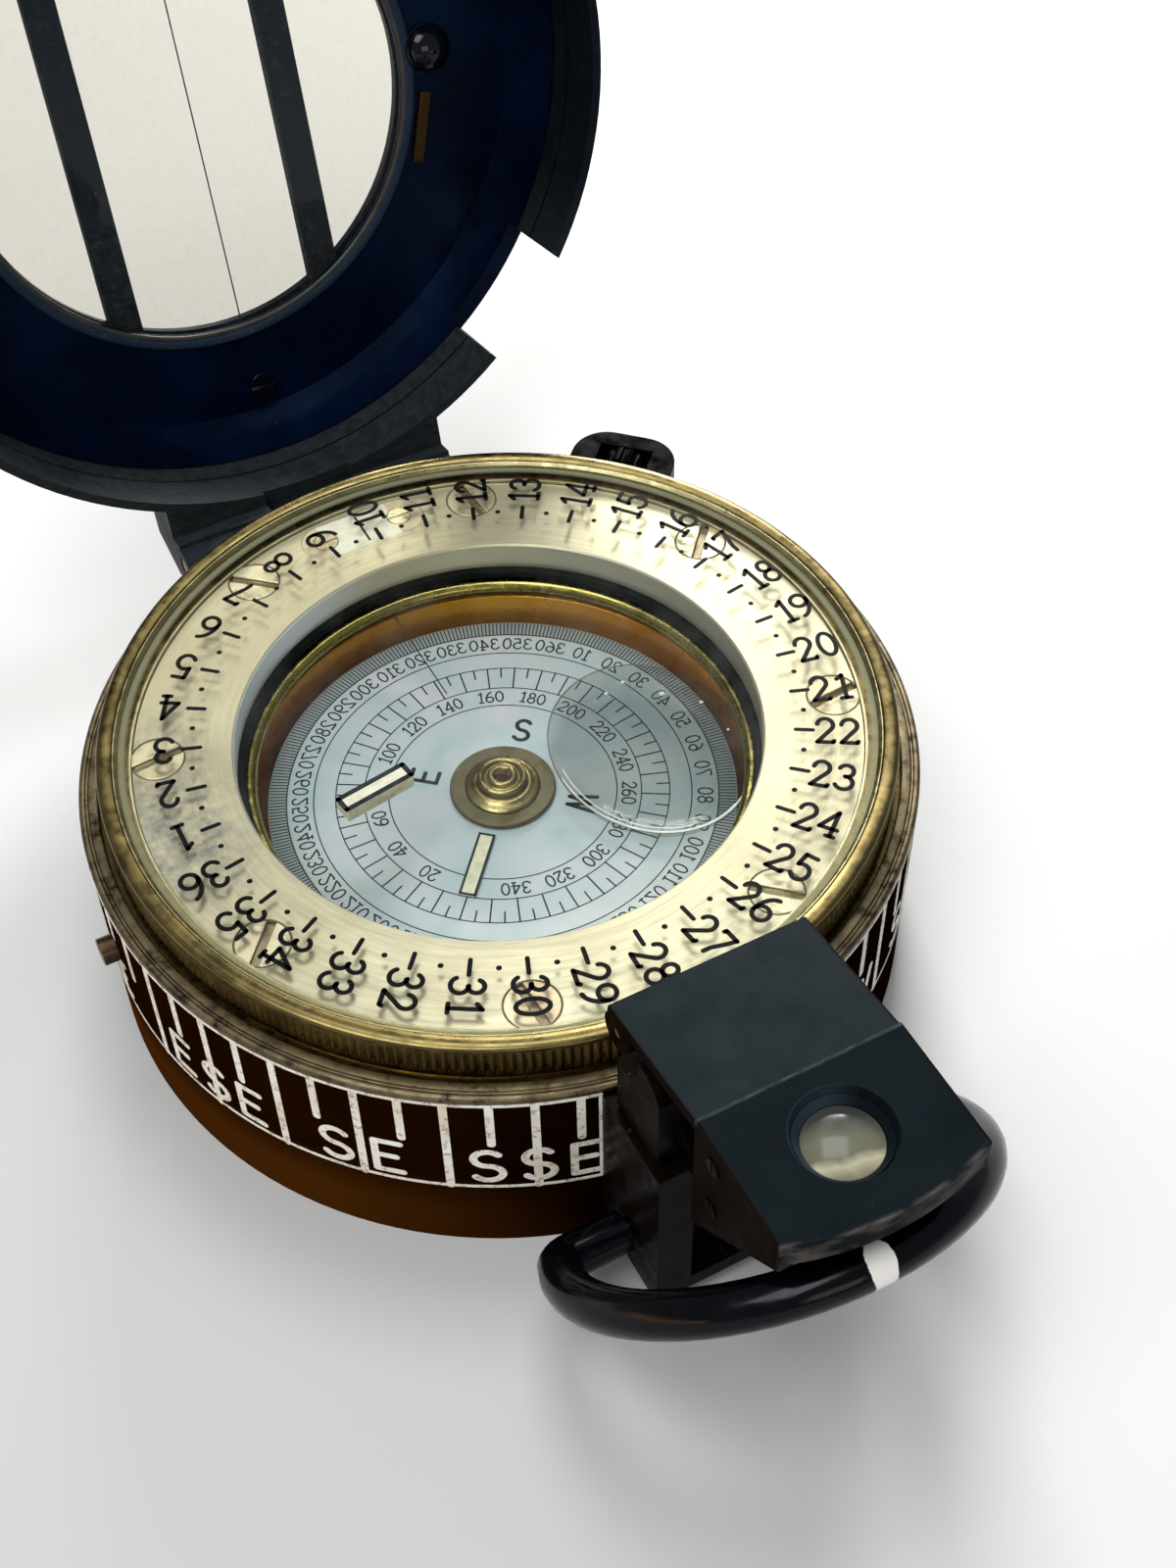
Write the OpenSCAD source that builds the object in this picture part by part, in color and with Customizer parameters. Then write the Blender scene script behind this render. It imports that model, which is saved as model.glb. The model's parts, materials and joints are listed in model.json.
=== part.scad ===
// Magnetic compass with a liquid bowl, a turning bezel, a hinged lid and a folding prism.
// The origin is the centre of the base. +Z is up, +Y points to the lid hinge, -Y to the prism.

/* [Card and bowl] */
// Radius of the floating card
card_r = 19.1; // [17:0.1:24]
// Thickness of the card
card_t = 0.3; // [0.2:0.05:0.6]
// Height of the card's top above the base
card_z = 13.9; // [13:0.05:14.4]
// Radius of the disc over the middle of the card
card_hub_r = 4.3; // [3.8:0.1:5]
// Room between the card and the inner glass
card_head = 2.3; // [2.2:0.05:3]
// Gap between the card's edge and the bowl
card_gap = 0.9; // [0.4:0.1:2]
// Wall of the liquid bowl
bowl_wall = 3.6; // [2.6:0.1:5]
// Thickness of the bowl's floor
bowl_floor = 1.2; // [0.8:0.1:1.8]
// Thickness of the bowl's flange
bowl_flange_t = 2.5; // [2.2:0.1:2.8]
// Width of the step that carries the inner glass
glass_step_w = 2.0; // [1.2:0.1:2.4]
// Thickness of the inner glass
inner_glass_t = 1.0; // [0.8:0.1:1.2]
// Radius of the pivot post
post_r = 1.1; // [0.8:0.1:1.8]

/* [Dial plate] */
// Width of the dial plate's ring
plate_w = 7.85; // [7.2:0.05:10]
// Thickness of the dial plate
plate_t = 2.5; // [2:0.1:3]
// How far the plate's bore stands back from the bowl's bore
plate_step = 0.85; // [0.3:0.05:1]
// Number of plate screws
plate_screws_n = 8; // [4:1:10]
// Head radius of the plate screws
plate_screw_r = 2.1; // [1.2:0.1:2.6]
// Length of the oblong lubber patch
patch_len = 11; // [9:0.5:12]
// Width of the oblong lubber patch
patch_w = 4.2; // [3:0.1:4.6]
// Radius at which the lubber patch lies
patch_r = 26.1; // [24:0.1:27]

/* [Bezel] */
// Wall of the bezel ring
bezel_wall = 2.35; // [1.6:0.05:3.2]
// Height of the bezel's top above the keeper ring
bezel_rise = 3.38; // [2.8:0.01:5]
// Width of the bezel's foot beyond its side
foot_w = 0.85; // [0.6:0.05:1.4]
// Thickness of the bezel's foot
foot_t = 0.6; // [0.4:0.05:0.9]
// Thickness of the bezel glass
bezel_glass_t = 0.6; // [0.5:0.05:1]
// Depth of the glass below the top of the bezel
glass_drop = 0.53; // [0.3:0.01:1]
// Number of ribs in the bezel's knurl
knurl_n = 120; // [60:4:160]
// Length of the index strip
index_len = 6.0; // [4:0.1:9]
// Width of the index strip
index_w = 1.7; // [1:0.1:2.4]
// Thickness of the index strip
index_t = 1.2; // [0.8:0.1:1.6]
// Distance of the index strip's middle from the centre
index_r = 11.55; // [8:0.05:15]

/* [Case] */
// Height of the case wall
case_h = 18.95; // [16:0.05:24]
// Wall of the case beside the bezel's foot
case_wall = 1.0; // [0.8:0.05:2.5]
// Wall of the case at mid height
case_side_wall = 2.25; // [1.8:0.05:4]
// Thickness of the keeper ring
keeper_t = 0.6; // [0.4:0.05:1]
// Thickness of the base cover
cover_t = 1.6; // [1.2:0.1:2.4]
// Width of the case's foot round the base cover
base_rim_w = 3.4; // [2:0.1:5]

/* [Lid] */
// Depth of the lid's rim below the inner face of its glass
lid_depth = 11.95; // [11:0.05:12]
// Height of the lid's glass above the bezel when shut
lid_rise = 4.47; // [4:0.01:7]
// Wall of the lid's rim
lid_wall = 0.8; // [0.6:0.05:1.4]
// Thickness of the lid's plate
lid_plate_t = 1.7; // [1.2:0.1:2.2]
// Angle of the open lid, from flat back
lid_angle = 76.7; // [60:0.1:110]
// Radius of the window that is seen
window_r = 20.05; // [15:0.05:22]
// Offset of the window towards the hinge
window_y = 2.55; // [0:0.05:3]
// Thickness of the window glass
window_glass_t = 0.9; // [0.6:0.1:1]
// Distance of the window bars from the middle
bar_x = 9.65; // [6:0.05:13]
// Width of a window bar
bar_w = 2.85; // [1.5:0.05:4]

/* [Hinge] */
// Distance of the hinge axis from the case wall
hinge_out = 3.67; // [3.4:0.01:5]
// Height of the hinge axis
hinge_z = 13.9; // [12:0.1:14]
// Radius of the hinge knuckles
knuckle_r = 1.9; // [1.7:0.1:2.2]
// Radius of the lid's hinge pin
hinge_pin_r = 0.9; // [0.6:0.05:1.2]
// Width of the middle knuckle on the case
mid_knuckle_w = 7.8; // [5:0.1:12]
// Width across the lid's outer knuckles
lug_w = 26.6; // [20:0.1:30]

/* [Bezel clamp] */
// Direction of the clamp, from +X
clamp_angle = 45.5; // [40:0.5:50]
// Width of the clamp guard
clamp_w = 9.4; // [8:0.1:12]
// How far the clamp guard stands out of the case
clamp_out = 6.0; // [5.2:0.1:8]
// Head radius of the clamp screw
clamp_head_r = 2.1; // [1.5:0.05:2.3]
// Shank radius of the clamp screw
clamp_shank_r = 0.8; // [0.5:0.05:1]

/* [Prism bracket and slide] */
// Width of the prism bracket
bracket_w = 16.4; // [14:0.1:20]
// How far the bracket stands out of the case
bracket_out = 7.15; // [6.6:0.05:9]
// Height of the bracket's top
bracket_top = 18.7; // [17:0.1:18.8]
// Height of the bracket's bottom
bracket_bottom = 1.5; // [0.5:0.1:2.5]
// Width of the slide's tongue in the bracket
tongue_w = 12.8; // [10:0.1:13]
// Thickness of the slide's tongue
tongue_t = 2.4; // [1.8:0.1:3]
// Width of the slot's mouth
slot_mouth_w = 10.6; // [7:0.1:11]

/* [Prism box] */
// Width of the prism housing
prism_w = 15.4; // [13:0.1:18]
// Width of the cover plate over the prism hinge
flap_w = 15.4; // [13:0.1:18]
// Distance of the prism hinge axis from the case wall
prism_hinge_out = 0.15; // [0:0.05:1]
// Height of the prism hinge axis above the bezel's top
prism_hinge_up = 4.57; // [4.4:0.01:7]
// Radius of the prism's knuckles
prism_knuckle_r = 0.85; // [0.8:0.05:1]
// Radius of the prism's hinge pin
prism_pin_r = 0.45; // [0.35:0.05:0.5]
// Distance from the prism hinge to the far end of the housing
prism_reach = 20.6; // [18:0.1:24]
// Length of the housing's top
prism_len = 10.2; // [9:0.1:13]
// Height of the housing's front face
prism_front_h = 3.0; // [2:0.1:4]
// Depth of the housing below its top
prism_depth = 12.3; // [10:0.1:13]
// Wall of the housing
prism_wall = 1.1; // [0.8:0.1:1.6]
// Radius of the recess round the reading lens
lens_recess_r = 3.55; // [2.9:0.05:4.5]
// Radius of the reading lens
lens_r = 3.1; // [2:0.05:3.6]
// How far the middle of the housing's front edge stands out past its corners
prism_bow = 1.45; // [0.5:0.05:2]

/* [Thumb ring] */
// Radius of the thumb ring's bar
ring_bar_r = 1.7; // [1.2:0.1:2.2]
// Half the width of the thumb ring, to the middle of its bar
ring_half_w = 15.3; // [14:0.1:18]
// Reach of the thumb ring from its pivot, to the middle of its bar
ring_reach = 25.6; // [22:0.1:28]
// Angle of the thumb ring above level
ring_angle = 44.5; // [20:0.5:46]
// Height of the thumb ring's pivot
ring_pivot_z = 5.7; // [4:0.1:8]
// Distance of the thumb ring's pivot from the case wall
ring_pivot_out = 2.75; // [2.4:0.05:4]
// Radius of the thumb ring's pivot pins
ring_pin_r = 0.9; // [0.6:0.05:1.3]

/* [Clearances] */
// Gap between pieces that move past each other
body_gap = 0.3; // [0.2:0.05:0.5]
// Radial clearance of a running fit
run_gap = 0.05; // [0.02:0.01:0.08]
// Clearance of the slide in its bracket
slide_gap = 0.1; // [0.05:0.01:0.2]
// Clearance of a screw in its hole
screw_gap = 0.05; // [0.02:0.01:0.1]
// Gap between the shut lid's rim and the case
lid_gap = 0.45; // [0.3:0.05:0.6]
// Clearance of a piece set in its seat
seat_gap = 0.02; // [0.01:0.01:0.05]

/* [Hidden] */
$fn = 96;
eps = 0.01;

bowl_r = card_r + card_gap;
bowl_outer_r = bowl_r + bowl_wall;
inner_glass_r = bowl_r + glass_step_w;
plate_bore_r = bowl_r + plate_step;
plate_r = plate_bore_r + plate_w;
flange_r = plate_r - 0.1;
bezel_in_r = plate_r + body_gap;
bezel_r = bezel_in_r + bezel_wall;
foot_r = bezel_r + foot_w;
case_bore_r = foot_r + run_gap;
case_r = case_bore_r + case_wall;
side_in_r = case_r - case_side_wall;
case_top = case_h + keeper_t;
bezel_top = case_top + bezel_rise;
glass_top = bezel_top - glass_drop;
glass_bottom = glass_top - bezel_glass_t;
bezel_glass_r = bezel_in_r + 1.1;
plate_top = glass_bottom - body_gap;
plate_bottom = plate_top - plate_t;
flange_bottom = plate_bottom - bowl_flange_t;
foot_top = case_h - run_gap;
foot_bottom = foot_top - foot_t;
foot_seat = foot_bottom - run_gap;
card_bottom = card_z - card_t;
inner_glass_bottom = card_z + card_head;
inner_glass_top = inner_glass_bottom + inner_glass_t;
glass_ring_top = inner_glass_top + 0.9;
bowl_inside_z = 6.0;
bowl_bottom_z = bowl_inside_z - bowl_floor;
skirt_z = 3.2;
skirt_wall = 1.0;
shelf_z = flange_bottom - 3;
ledge_r = case_r - base_rim_w - 3.2;
ledge_z = 4.6;
base_screw_r = case_r - base_rim_w - 1.6;
cover_r = case_r - base_rim_w;
plate_screw_ring_r = plate_r - plate_screw_r + body_gap / 2;
north_angle = -131;
index_angle = -171.5;
lid_in_r = case_r + lid_gap;
lid_r = lid_in_r + lid_wall;
lid_glass_z = bezel_top + lid_rise;
lid_top = lid_glass_z + lid_plate_t;
lid_rim_z = lid_glass_z - lid_depth;
hinge_y = case_r + hinge_out;
lid_turn = 180 - lid_angle;
window_glass_r = window_r + 0.9;
knob_x = 22.3;
knob_y = 0.7;
window_ring_r = window_r + 1.9;
window_seat_z = lid_glass_z + 0.4;
guard_top = lid_rim_z + 3.7;
clamp_z = foot_seat - 1.0;
bracket_front = case_r + bracket_out;
slot_back = bracket_front - 4.4;
prism_hinge_y = -(case_r + prism_hinge_out);
prism_hinge_z = bezel_top + prism_hinge_up;
prism_top_z = prism_hinge_z + 3.9;
prism_far_y = prism_hinge_y - prism_reach;
prism_near_y = prism_far_y + prism_len;
prism_low_z = prism_top_z - prism_depth;
lens_y = prism_far_y + 4.95;
lens_ledge_z = prism_top_z - prism_wall + 0.3;
bow_r = (pow(prism_w / 2, 2) + pow(prism_bow, 2)) / (2 * prism_bow);
prism_eye_r = 1.6;
sweep_r = 2.55;
ring_pivot_y = -(case_r + ring_pivot_out);
ring_half_len = 17.8;
ring_mid = ring_reach - ring_half_len;
ring_sides = 16;
trunnion_x = bracket_w / 2 + body_gap;

// Ring of rectangular section between two radii and two heights
module tube(r_in, r_out, z_low, z_high) {
    rotate_extrude()
        translate([r_in, z_low]) square([r_out - r_in, z_high - z_low]);
}

// Slotted cheese-head screw: head on top at z = 0, shank below
module slotted_screw(head_r, head_h, shank_r, length, slot_w = 0.5, slot_d = 0.35) {
    difference() {
        union() {
            translate([0, 0, -head_h]) cylinder(r = head_r, h = head_h);
            translate([0, 0, -length]) cylinder(r = shank_r, h = length - head_h + eps);
        }
        translate([-head_r - 1, -slot_w / 2, -slot_d]) cube([2 * head_r + 2, slot_w, slot_d + 1]);
    }
}

// Copies at the plate screws' places round the axis
module at_plate_screws() {
    for (i = [0:plate_screws_n - 1])
        rotate([0, 0, 23.5 + i * 360 / plate_screws_n]) translate([plate_screw_ring_r, 0, 0]) children();
}

// Copies at the base cover's four screws
module at_base_screws() {
    for (i = [0:3]) rotate([0, 0, 45 + 90 * i]) translate([base_screw_r, 0, 0]) children();
}

// Copies at the hinge block's two screws, with local Z pointing out of the case
module at_hinge_screws() {
    for (x = [-6.4, 6.4])
        translate([x, sqrt(case_r ^ 2 - x ^ 2) + 0.75, 8]) rotate([-90, 0, -atan(x / case_r)]) children();
}

// Copies at the bracket's four screws, with local Z pointing out of the case
module at_bracket_screws() {
    for (x = [-4.4, 4.4], z = [4.6, 11.2])
        translate([x, -slot_back + 0.1, z]) rotate([90, 0, 0]) children();
}

// Places a lid piece, drawn shut, at the open lid's angle about the hinge axis
module on_lid() {
    translate([0, hinge_y, hinge_z])
        rotate([-lid_turn, 0, 0])
            translate([0, -hinge_y, -hinge_z]) children();
}

// Turns local Z into the direction along the clamp's radius, with local -X upwards
module along_clamp() {
    rotate([0, 0, clamp_angle]) translate([0, 0, clamp_z]) rotate([0, 90, 0]) children();
}

// Extrudes a side view, drawn as y and z, over the width about x = 0
module across(width) {
    rotate([90, 0, 90]) translate([0, 0, -width / 2]) linear_extrude(width) children();
}

// Point of the thumb ring's middle line, an ellipse, at an angle from its far end
function ring_ellipse(t) = [ring_half_w * sin(t), ring_mid + ring_half_len * cos(t)];

// Point of a curve from one place to another that bends towards a corner
function bend(from, corner, to, t) = (1 - t) ^ 2 * from + 2 * t * (1 - t) * corner + t ^ 2 * to;

// Middle line of one half of the thumb ring, from the bracket to the far end
function ring_half(side) =
    let (
        last = acos((1.6 - ring_mid) / ring_half_len),
        out = ring_ellipse(last)[0],
        half = concat(
            [[trunnion_x, 0], [(trunnion_x + out - 1.8) / 2, 0]],
            [for (i = [0:5]) bend([out - 1.8, 0], [out - 0.25, 0], ring_ellipse(last), i / 5)],
            [for (i = [1:20]) ring_ellipse(last * (1 - i / 20))]
        )
    )
    [for (p = half) [side * p[0], p[1]]];

// Bar of round section along a flat line of points
module bent_bar(line, radius, sides) {
    n = len(line);
    points = [for (i = [0:n - 1]) let (
        step = line[min(i + 1, n - 1)] - line[max(i - 1, 0)],
        across_line = [step[1], -step[0]] / norm(step)
    ) for (j = [0:sides - 1])
        [line[i][0] + radius * cos(j * 360 / sides) * across_line[0],
         line[i][1] + radius * cos(j * 360 / sides) * across_line[1],
         radius * sin(j * 360 / sides)]];
    skin = [for (i = [0:n - 2], j = [0:sides - 1]) let (
        a = i * sides + j,
        b = i * sides + (j + 1) % sides
    ) each [[a, b, b + sides], [a, b + sides, a + sides]]];
    ends = [for (j = [1:sides - 2]) each [
        [0, j + 1, j],
        [(n - 1) * sides, (n - 1) * sides + j, (n - 1) * sides + j + 1]
    ]];
    polyhedron(points, concat(skin, ends));
}

// Turned case with the shelf for the bowl and the seat for the bezel
module case_body() {
    flange_bore = flange_r + seat_gap;
    color([0.13, 0.09, 0.07]) difference() {
        rotate_extrude() polygon([
            [cover_r, 0], [case_r, 0], [case_r, case_h], [case_bore_r, case_h],
            [case_bore_r, foot_seat], [flange_bore, foot_seat], [flange_bore, flange_bottom],
            [bowl_outer_r + 0.4, flange_bottom], [bowl_outer_r + 0.4, shelf_z], [side_in_r, shelf_z - 2.5],
            [side_in_r, ledge_z + 2], [ledge_r, ledge_z], [ledge_r, cover_t], [cover_r, cover_t]
        ]);
        at_plate_screws() translate([0, 0, shelf_z + 0.8]) cylinder(r = 0.8 + screw_gap, h = 8);
        at_base_screws() cylinder(r = 0.8 + screw_gap, h = ledge_z - 0.4);
        at_hinge_screws() translate([0, 0, -3]) cylinder(r = 0.7 + screw_gap, h = 4);
        at_bracket_screws() translate([0, 0, -7]) cylinder(r = 0.7 + screw_gap, h = 7);
        along_clamp() cylinder(r = clamp_shank_r + screw_gap, h = case_r + 2);
        rotate([0, 0, clamp_angle]) translate([case_r - 3.85, -1.6, clamp_z - 1.2]) cube([2.6, 3.2, 4]);
        translate([-case_r - 1, 0, lid_rim_z - 1.35]) rotate([0, 90, 0]) cylinder(r = 0.7 + seat_gap, h = 4);
    }
}

// Flat cover that closes the case from below
module base_cover() {
    color([0.16, 0.11, 0.08]) difference() {
        cylinder(r = cover_r - seat_gap, h = cover_t - seat_gap);
        at_base_screws() translate([0, 0, -1]) cylinder(r = 0.8 + screw_gap, h = cover_t + 2);
        at_base_screws() translate([0, 0, -1]) cylinder(r = 1.5 + screw_gap, h = 1.8);
    }
}

// Four cheese-head screws of the base cover
module base_screws() {
    color([0.55, 0.45, 0.25])
        at_base_screws() translate([0, 0, 0.1]) mirror([0, 0, 1]) slotted_screw(1.5, 0.7, 0.8, 4);
}

// Bowl that holds the liquid, with its flange, vents and filler hole
module liquid_bowl() {
    color([0.72, 0.45, 0.12]) difference() {
        rotate_extrude() polygon([
            [0, bowl_bottom_z], [0, bowl_inside_z], [bowl_r, bowl_inside_z],
            [bowl_r, inner_glass_bottom], [inner_glass_r + seat_gap, inner_glass_bottom],
            [inner_glass_r + seat_gap, plate_bottom], [flange_r, plate_bottom],
            [flange_r, flange_bottom], [bowl_outer_r, flange_bottom], [bowl_outer_r, skirt_z],
            [bowl_outer_r - skirt_wall, skirt_z], [bowl_outer_r - skirt_wall, bowl_bottom_z]
        ]);
        at_plate_screws() translate([0, 0, flange_bottom - 1]) cylinder(r = 0.8 + screw_gap, h = 6);
        for (i = [0:2]) rotate([0, 0, 60 + 120 * i]) translate([9, 0, 0]) cylinder(r = 0.6, h = 8);
        translate([14, 0, 0]) cylinder(r = 1.4 + screw_gap, h = 8);
        cylinder(r = 0.7 + seat_gap, h = 8);
    }
}

// Thin corrugated disc under the bowl that gives way as the liquid swells
module expansion_diaphragm() {
    disc_r = bowl_outer_r - skirt_wall - seat_gap;
    wave = 0.25;
    thick = 0.2;
    rings = [for (i = [0:20]) [disc_r * i / 20, skirt_z + 0.3 + wave * (1 - cos(i * 90))]];
    color([0.85, 0.75, 0.4])
        rotate_extrude() polygon(concat(
            [for (p = rings) p],
            [for (i = [20:-1:0]) rings[i] + [0, thick]]
        ));
}

// Plug of the filler hole in the bowl's floor
module filler_plug() {
    color([0.75, 0.6, 0.3]) translate([14, 0, bowl_bottom_z - 0.6]) mirror([0, 0, 1])
        slotted_screw(2.0, 0.6 - seat_gap, 1.4, 1.7);
}

// Post on the bowl's floor
module pivot_post() {
    color([0.75, 0.6, 0.3]) difference() {
        union() {
            translate([0, 0, bowl_inside_z]) cylinder(r = 3.2, h = 0.8);
            translate([0, 0, bowl_bottom_z + 0.2]) cylinder(r = 0.7, h = 2);
            translate([0, 0, bowl_inside_z]) cylinder(r = post_r, h = card_bottom - 1.6 - bowl_inside_z);
        }
        translate([0, 0, card_bottom - 3.5]) cylinder(r = 0.35 + seat_gap, h = 4);
    }
}

// Hard steel point on which the card turns
module pivot_point() {
    color([0.5, 0.52, 0.55]) rotate_extrude() polygon([
        [0, card_bottom - 3.4], [0.35, card_bottom - 3.4], [0.35, card_z + 0.1],
        [0.04, card_z + 1.0], [0, card_z + 1.0]
    ]);
}

// Black gasket between the brass ring and the dial plate
module bowl_gasket() {
    color([0.05, 0.05, 0.05])
        tube(plate_bore_r - 0.6, inner_glass_r, glass_ring_top + seat_gap, plate_bottom - seat_gap);
}

// Glass that closes the bowl
module inner_glass() {
    color([0.8, 0.9, 0.9, 0.3])
        translate([0, 0, inner_glass_bottom]) cylinder(r = inner_glass_r, h = inner_glass_t);
}

// Brass ring that holds the inner glass down
module glass_ring() {
    color([0.8, 0.66, 0.25]) rotate_extrude() polygon([
        [bowl_r - 0.5, inner_glass_top], [inner_glass_r, inner_glass_top], [inner_glass_r, glass_ring_top],
        [bowl_r + 0.4, glass_ring_top], [bowl_r + 0.4, glass_ring_top - 0.35],
        [bowl_r - 0.2, glass_ring_top - 0.35], [bowl_r - 0.5, glass_ring_top - 0.6]
    ]);
}

// Nickel ring under the bezel glass
module dial_plate() {
    color([0.83, 0.81, 0.74]) difference() {
        rotate_extrude() polygon([
            [plate_bore_r, plate_bottom], [plate_r, plate_bottom], [plate_r, plate_top],
            [plate_bore_r + 0.15, plate_top], [plate_bore_r, plate_top - 0.15]
        ]);
        at_plate_screws() {
            translate([0, 0, plate_bottom - 1]) cylinder(r = 0.8 + screw_gap, h = 6);
            translate([0, 0, plate_top - 0.9]) cylinder(r = plate_screw_r + screw_gap, h = 2);
        }
        lubber_outline(patch_w / 2 + seat_gap, plate_top - 0.8, 2);
        for (x = [-1, 1])
            translate([x * (patch_len - patch_w) / 2, patch_r, plate_bottom])
                cylinder(r = 0.5 + screw_gap, h = 3);
    }
}

// Oblong block with round ends where the lubber patch lies
module lubber_outline(end_r, z, height) {
    half = (patch_len - patch_w) / 2;
    translate([-half, patch_r - end_r, z]) cube([2 * half, 2 * end_r, height]);
    for (x = [-half, half]) translate([x, patch_r, z]) cylinder(r = end_r, h = height);
}

// Slotted screws that hold the dial plate and the bowl in the case
module plate_screws() {
    color([0.87, 0.82, 0.68]) at_plate_screws()
        translate([0, 0, plate_top]) rotate([0, 0, 25]) slotted_screw(plate_screw_r, 0.9, 0.8, 7.2, 0.7, 0.3);
}

// Oblong luminous patch under the fixed mark
module lubber_patch() {
    color([0.93, 0.91, 0.78]) difference() {
        lubber_outline(patch_w / 2, plate_top - 0.8, 0.8);
        for (x = [-1, 1]) translate([x * (patch_len - patch_w) / 2, patch_r, plate_top - 2]) {
            cylinder(r = 0.5 + screw_gap, h = 3);
            translate([0, 0, 1.7]) cylinder(r = 1.0 + screw_gap, h = 1);
        }
    }
}

// Two small screws of the lubber patch
module patch_screws() {
    color([0.9, 0.75, 0.62]) for (x = [-1, 1])
        translate([x * (patch_len - patch_w) / 2, patch_r, plate_top])
            slotted_screw(1.0, 0.3, 0.5, 2.0, 0.2, 0.1);
}

// Flat ring on the case that keeps the bezel's foot down
module bezel_keeper() {
    color([0.4, 0.31, 0.16]) tube(bezel_r + 0.35, case_r, case_h, case_top);
}

// Block on the case with the middle knuckle of the lid's hinge
module hinge_block() {
    color([0.12, 0.1, 0.09]) difference() {
        union() {
            intersection() {
                tube(case_r, case_r + 1.1, 4.5, hinge_z + 1.1);
                translate([-9, 0, 0]) cube([18, case_r + 5, 30]);
            }
            translate([-mid_knuckle_w / 2, case_r + 0.5, hinge_z - knuckle_r])
                cube([mid_knuckle_w, hinge_out - 0.5, 2 * knuckle_r]);
            translate([-mid_knuckle_w / 2, hinge_y, hinge_z]) rotate([0, 90, 0])
                cylinder(r = knuckle_r, h = mid_knuckle_w);
        }
        translate([-20, hinge_y, hinge_z]) rotate([0, 90, 0]) cylinder(r = hinge_pin_r, h = 40);
        at_hinge_screws() translate([0, 0, -3]) cylinder(r = 0.7 + screw_gap, h = 6);
    }
}

// Two screws of the hinge block
module hinge_screws() {
    color([0.5, 0.42, 0.25]) at_hinge_screws() translate([0, 0, 1.06]) slotted_screw(1.3, 0.7, 0.7, 3.4);
}

// Pin of the lid's hinge
module lid_hinge_pin() {
    color([0.6, 0.5, 0.3]) translate([-lug_w / 2 + 0.1, hinge_y, hinge_z]) rotate([0, 90, 0])
        cylinder(r = hinge_pin_r, h = lug_w - 0.2);
}

// Small brass stud on the case under the rim of the shut lid
module lid_stud() {
    color([0.6, 0.48, 0.3]) translate([-case_r, 0, lid_rim_z - 1.35]) rotate([0, -90, 0]) {
        cylinder(r = 1.1, h = 1.3);
        translate([0, 0, -1.8]) cylinder(r = 0.7, h = 2);
    }
}

// Rounded guard round the head of the clamp screw
module clamp_guard() {
    corner = 3.2;
    far = case_r + clamp_out - corner;
    color([0.07, 0.07, 0.08]) difference() {
        rotate([0, 0, clamp_angle]) union() {
            translate([case_r - 2, -clamp_w / 2, guard_top - 4.2]) cube([far - case_r + 2, clamp_w, 4.2]);
            translate([far, corner - clamp_w / 2, guard_top - 4.2]) cube([corner, clamp_w - 2 * corner, 4.2]);
            for (y = [-1, 1]) translate([far, y * (clamp_w / 2 - corner), guard_top - 4.2])
                cylinder(r = corner, h = 4.2);
        }
        translate([0, 0, -1]) cylinder(r = case_r, h = 40);
        rotate([0, 0, clamp_angle])
            translate([case_r + 2.0, -clamp_head_r - body_gap, guard_top - 5])
                cube([2.3, 2 * (clamp_head_r + body_gap), 6]);
        along_clamp() cylinder(r = clamp_shank_r + run_gap, h = case_r + 5);
    }
}

// Shoe that the clamp screw presses up against the bezel's foot
module clamp_shoe() {
    color([0.7, 0.56, 0.28]) rotate([0, 0, clamp_angle])
        translate([case_r - 3.75, -1.5, clamp_z - 1.1]) cube([1.9, 3.0, foot_bottom - 0.1 - clamp_z + 1.1]);
}

// Bracket on the case in which the slide runs
module prism_bracket() {
    color([0.1, 0.09, 0.09]) difference() {
        translate([-bracket_w / 2, -bracket_front, bracket_bottom])
            cube([bracket_w, bracket_front - case_r + 4, bracket_top - bracket_bottom]);
        translate([0, 0, -1]) cylinder(r = case_r, h = 40);
        translate([-tongue_w / 2 - slide_gap, -slot_back - tongue_t - 2 * slide_gap, bracket_bottom + 1.5])
            cube([tongue_w + 2 * slide_gap, tongue_t + 2 * slide_gap, 30]);
        translate([-slot_mouth_w / 2, -bracket_front - 1, bracket_bottom + 1.5]) cube([slot_mouth_w, 4, 30]);
        at_bracket_screws() {
            translate([0, 0, -7]) cylinder(r = 0.7 + screw_gap, h = 7);
            translate([0, 0, -0.8]) cylinder(r = 1.3 + screw_gap, h = 3);
        }
        for (x = [-1, 1]) translate([x * (bracket_w / 2 - 1.4), ring_pivot_y, ring_pivot_z])
            rotate([0, x * 90, 0]) cylinder(r = ring_pin_r + run_gap, h = 3);
    }
}

// Screws of the bracket, sunk in the back of its slot
module bracket_screws() {
    color([0.55, 0.45, 0.3]) at_bracket_screws() slotted_screw(1.3, 0.7, 0.7, 4.4, 0.4, 0.3);
}

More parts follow.
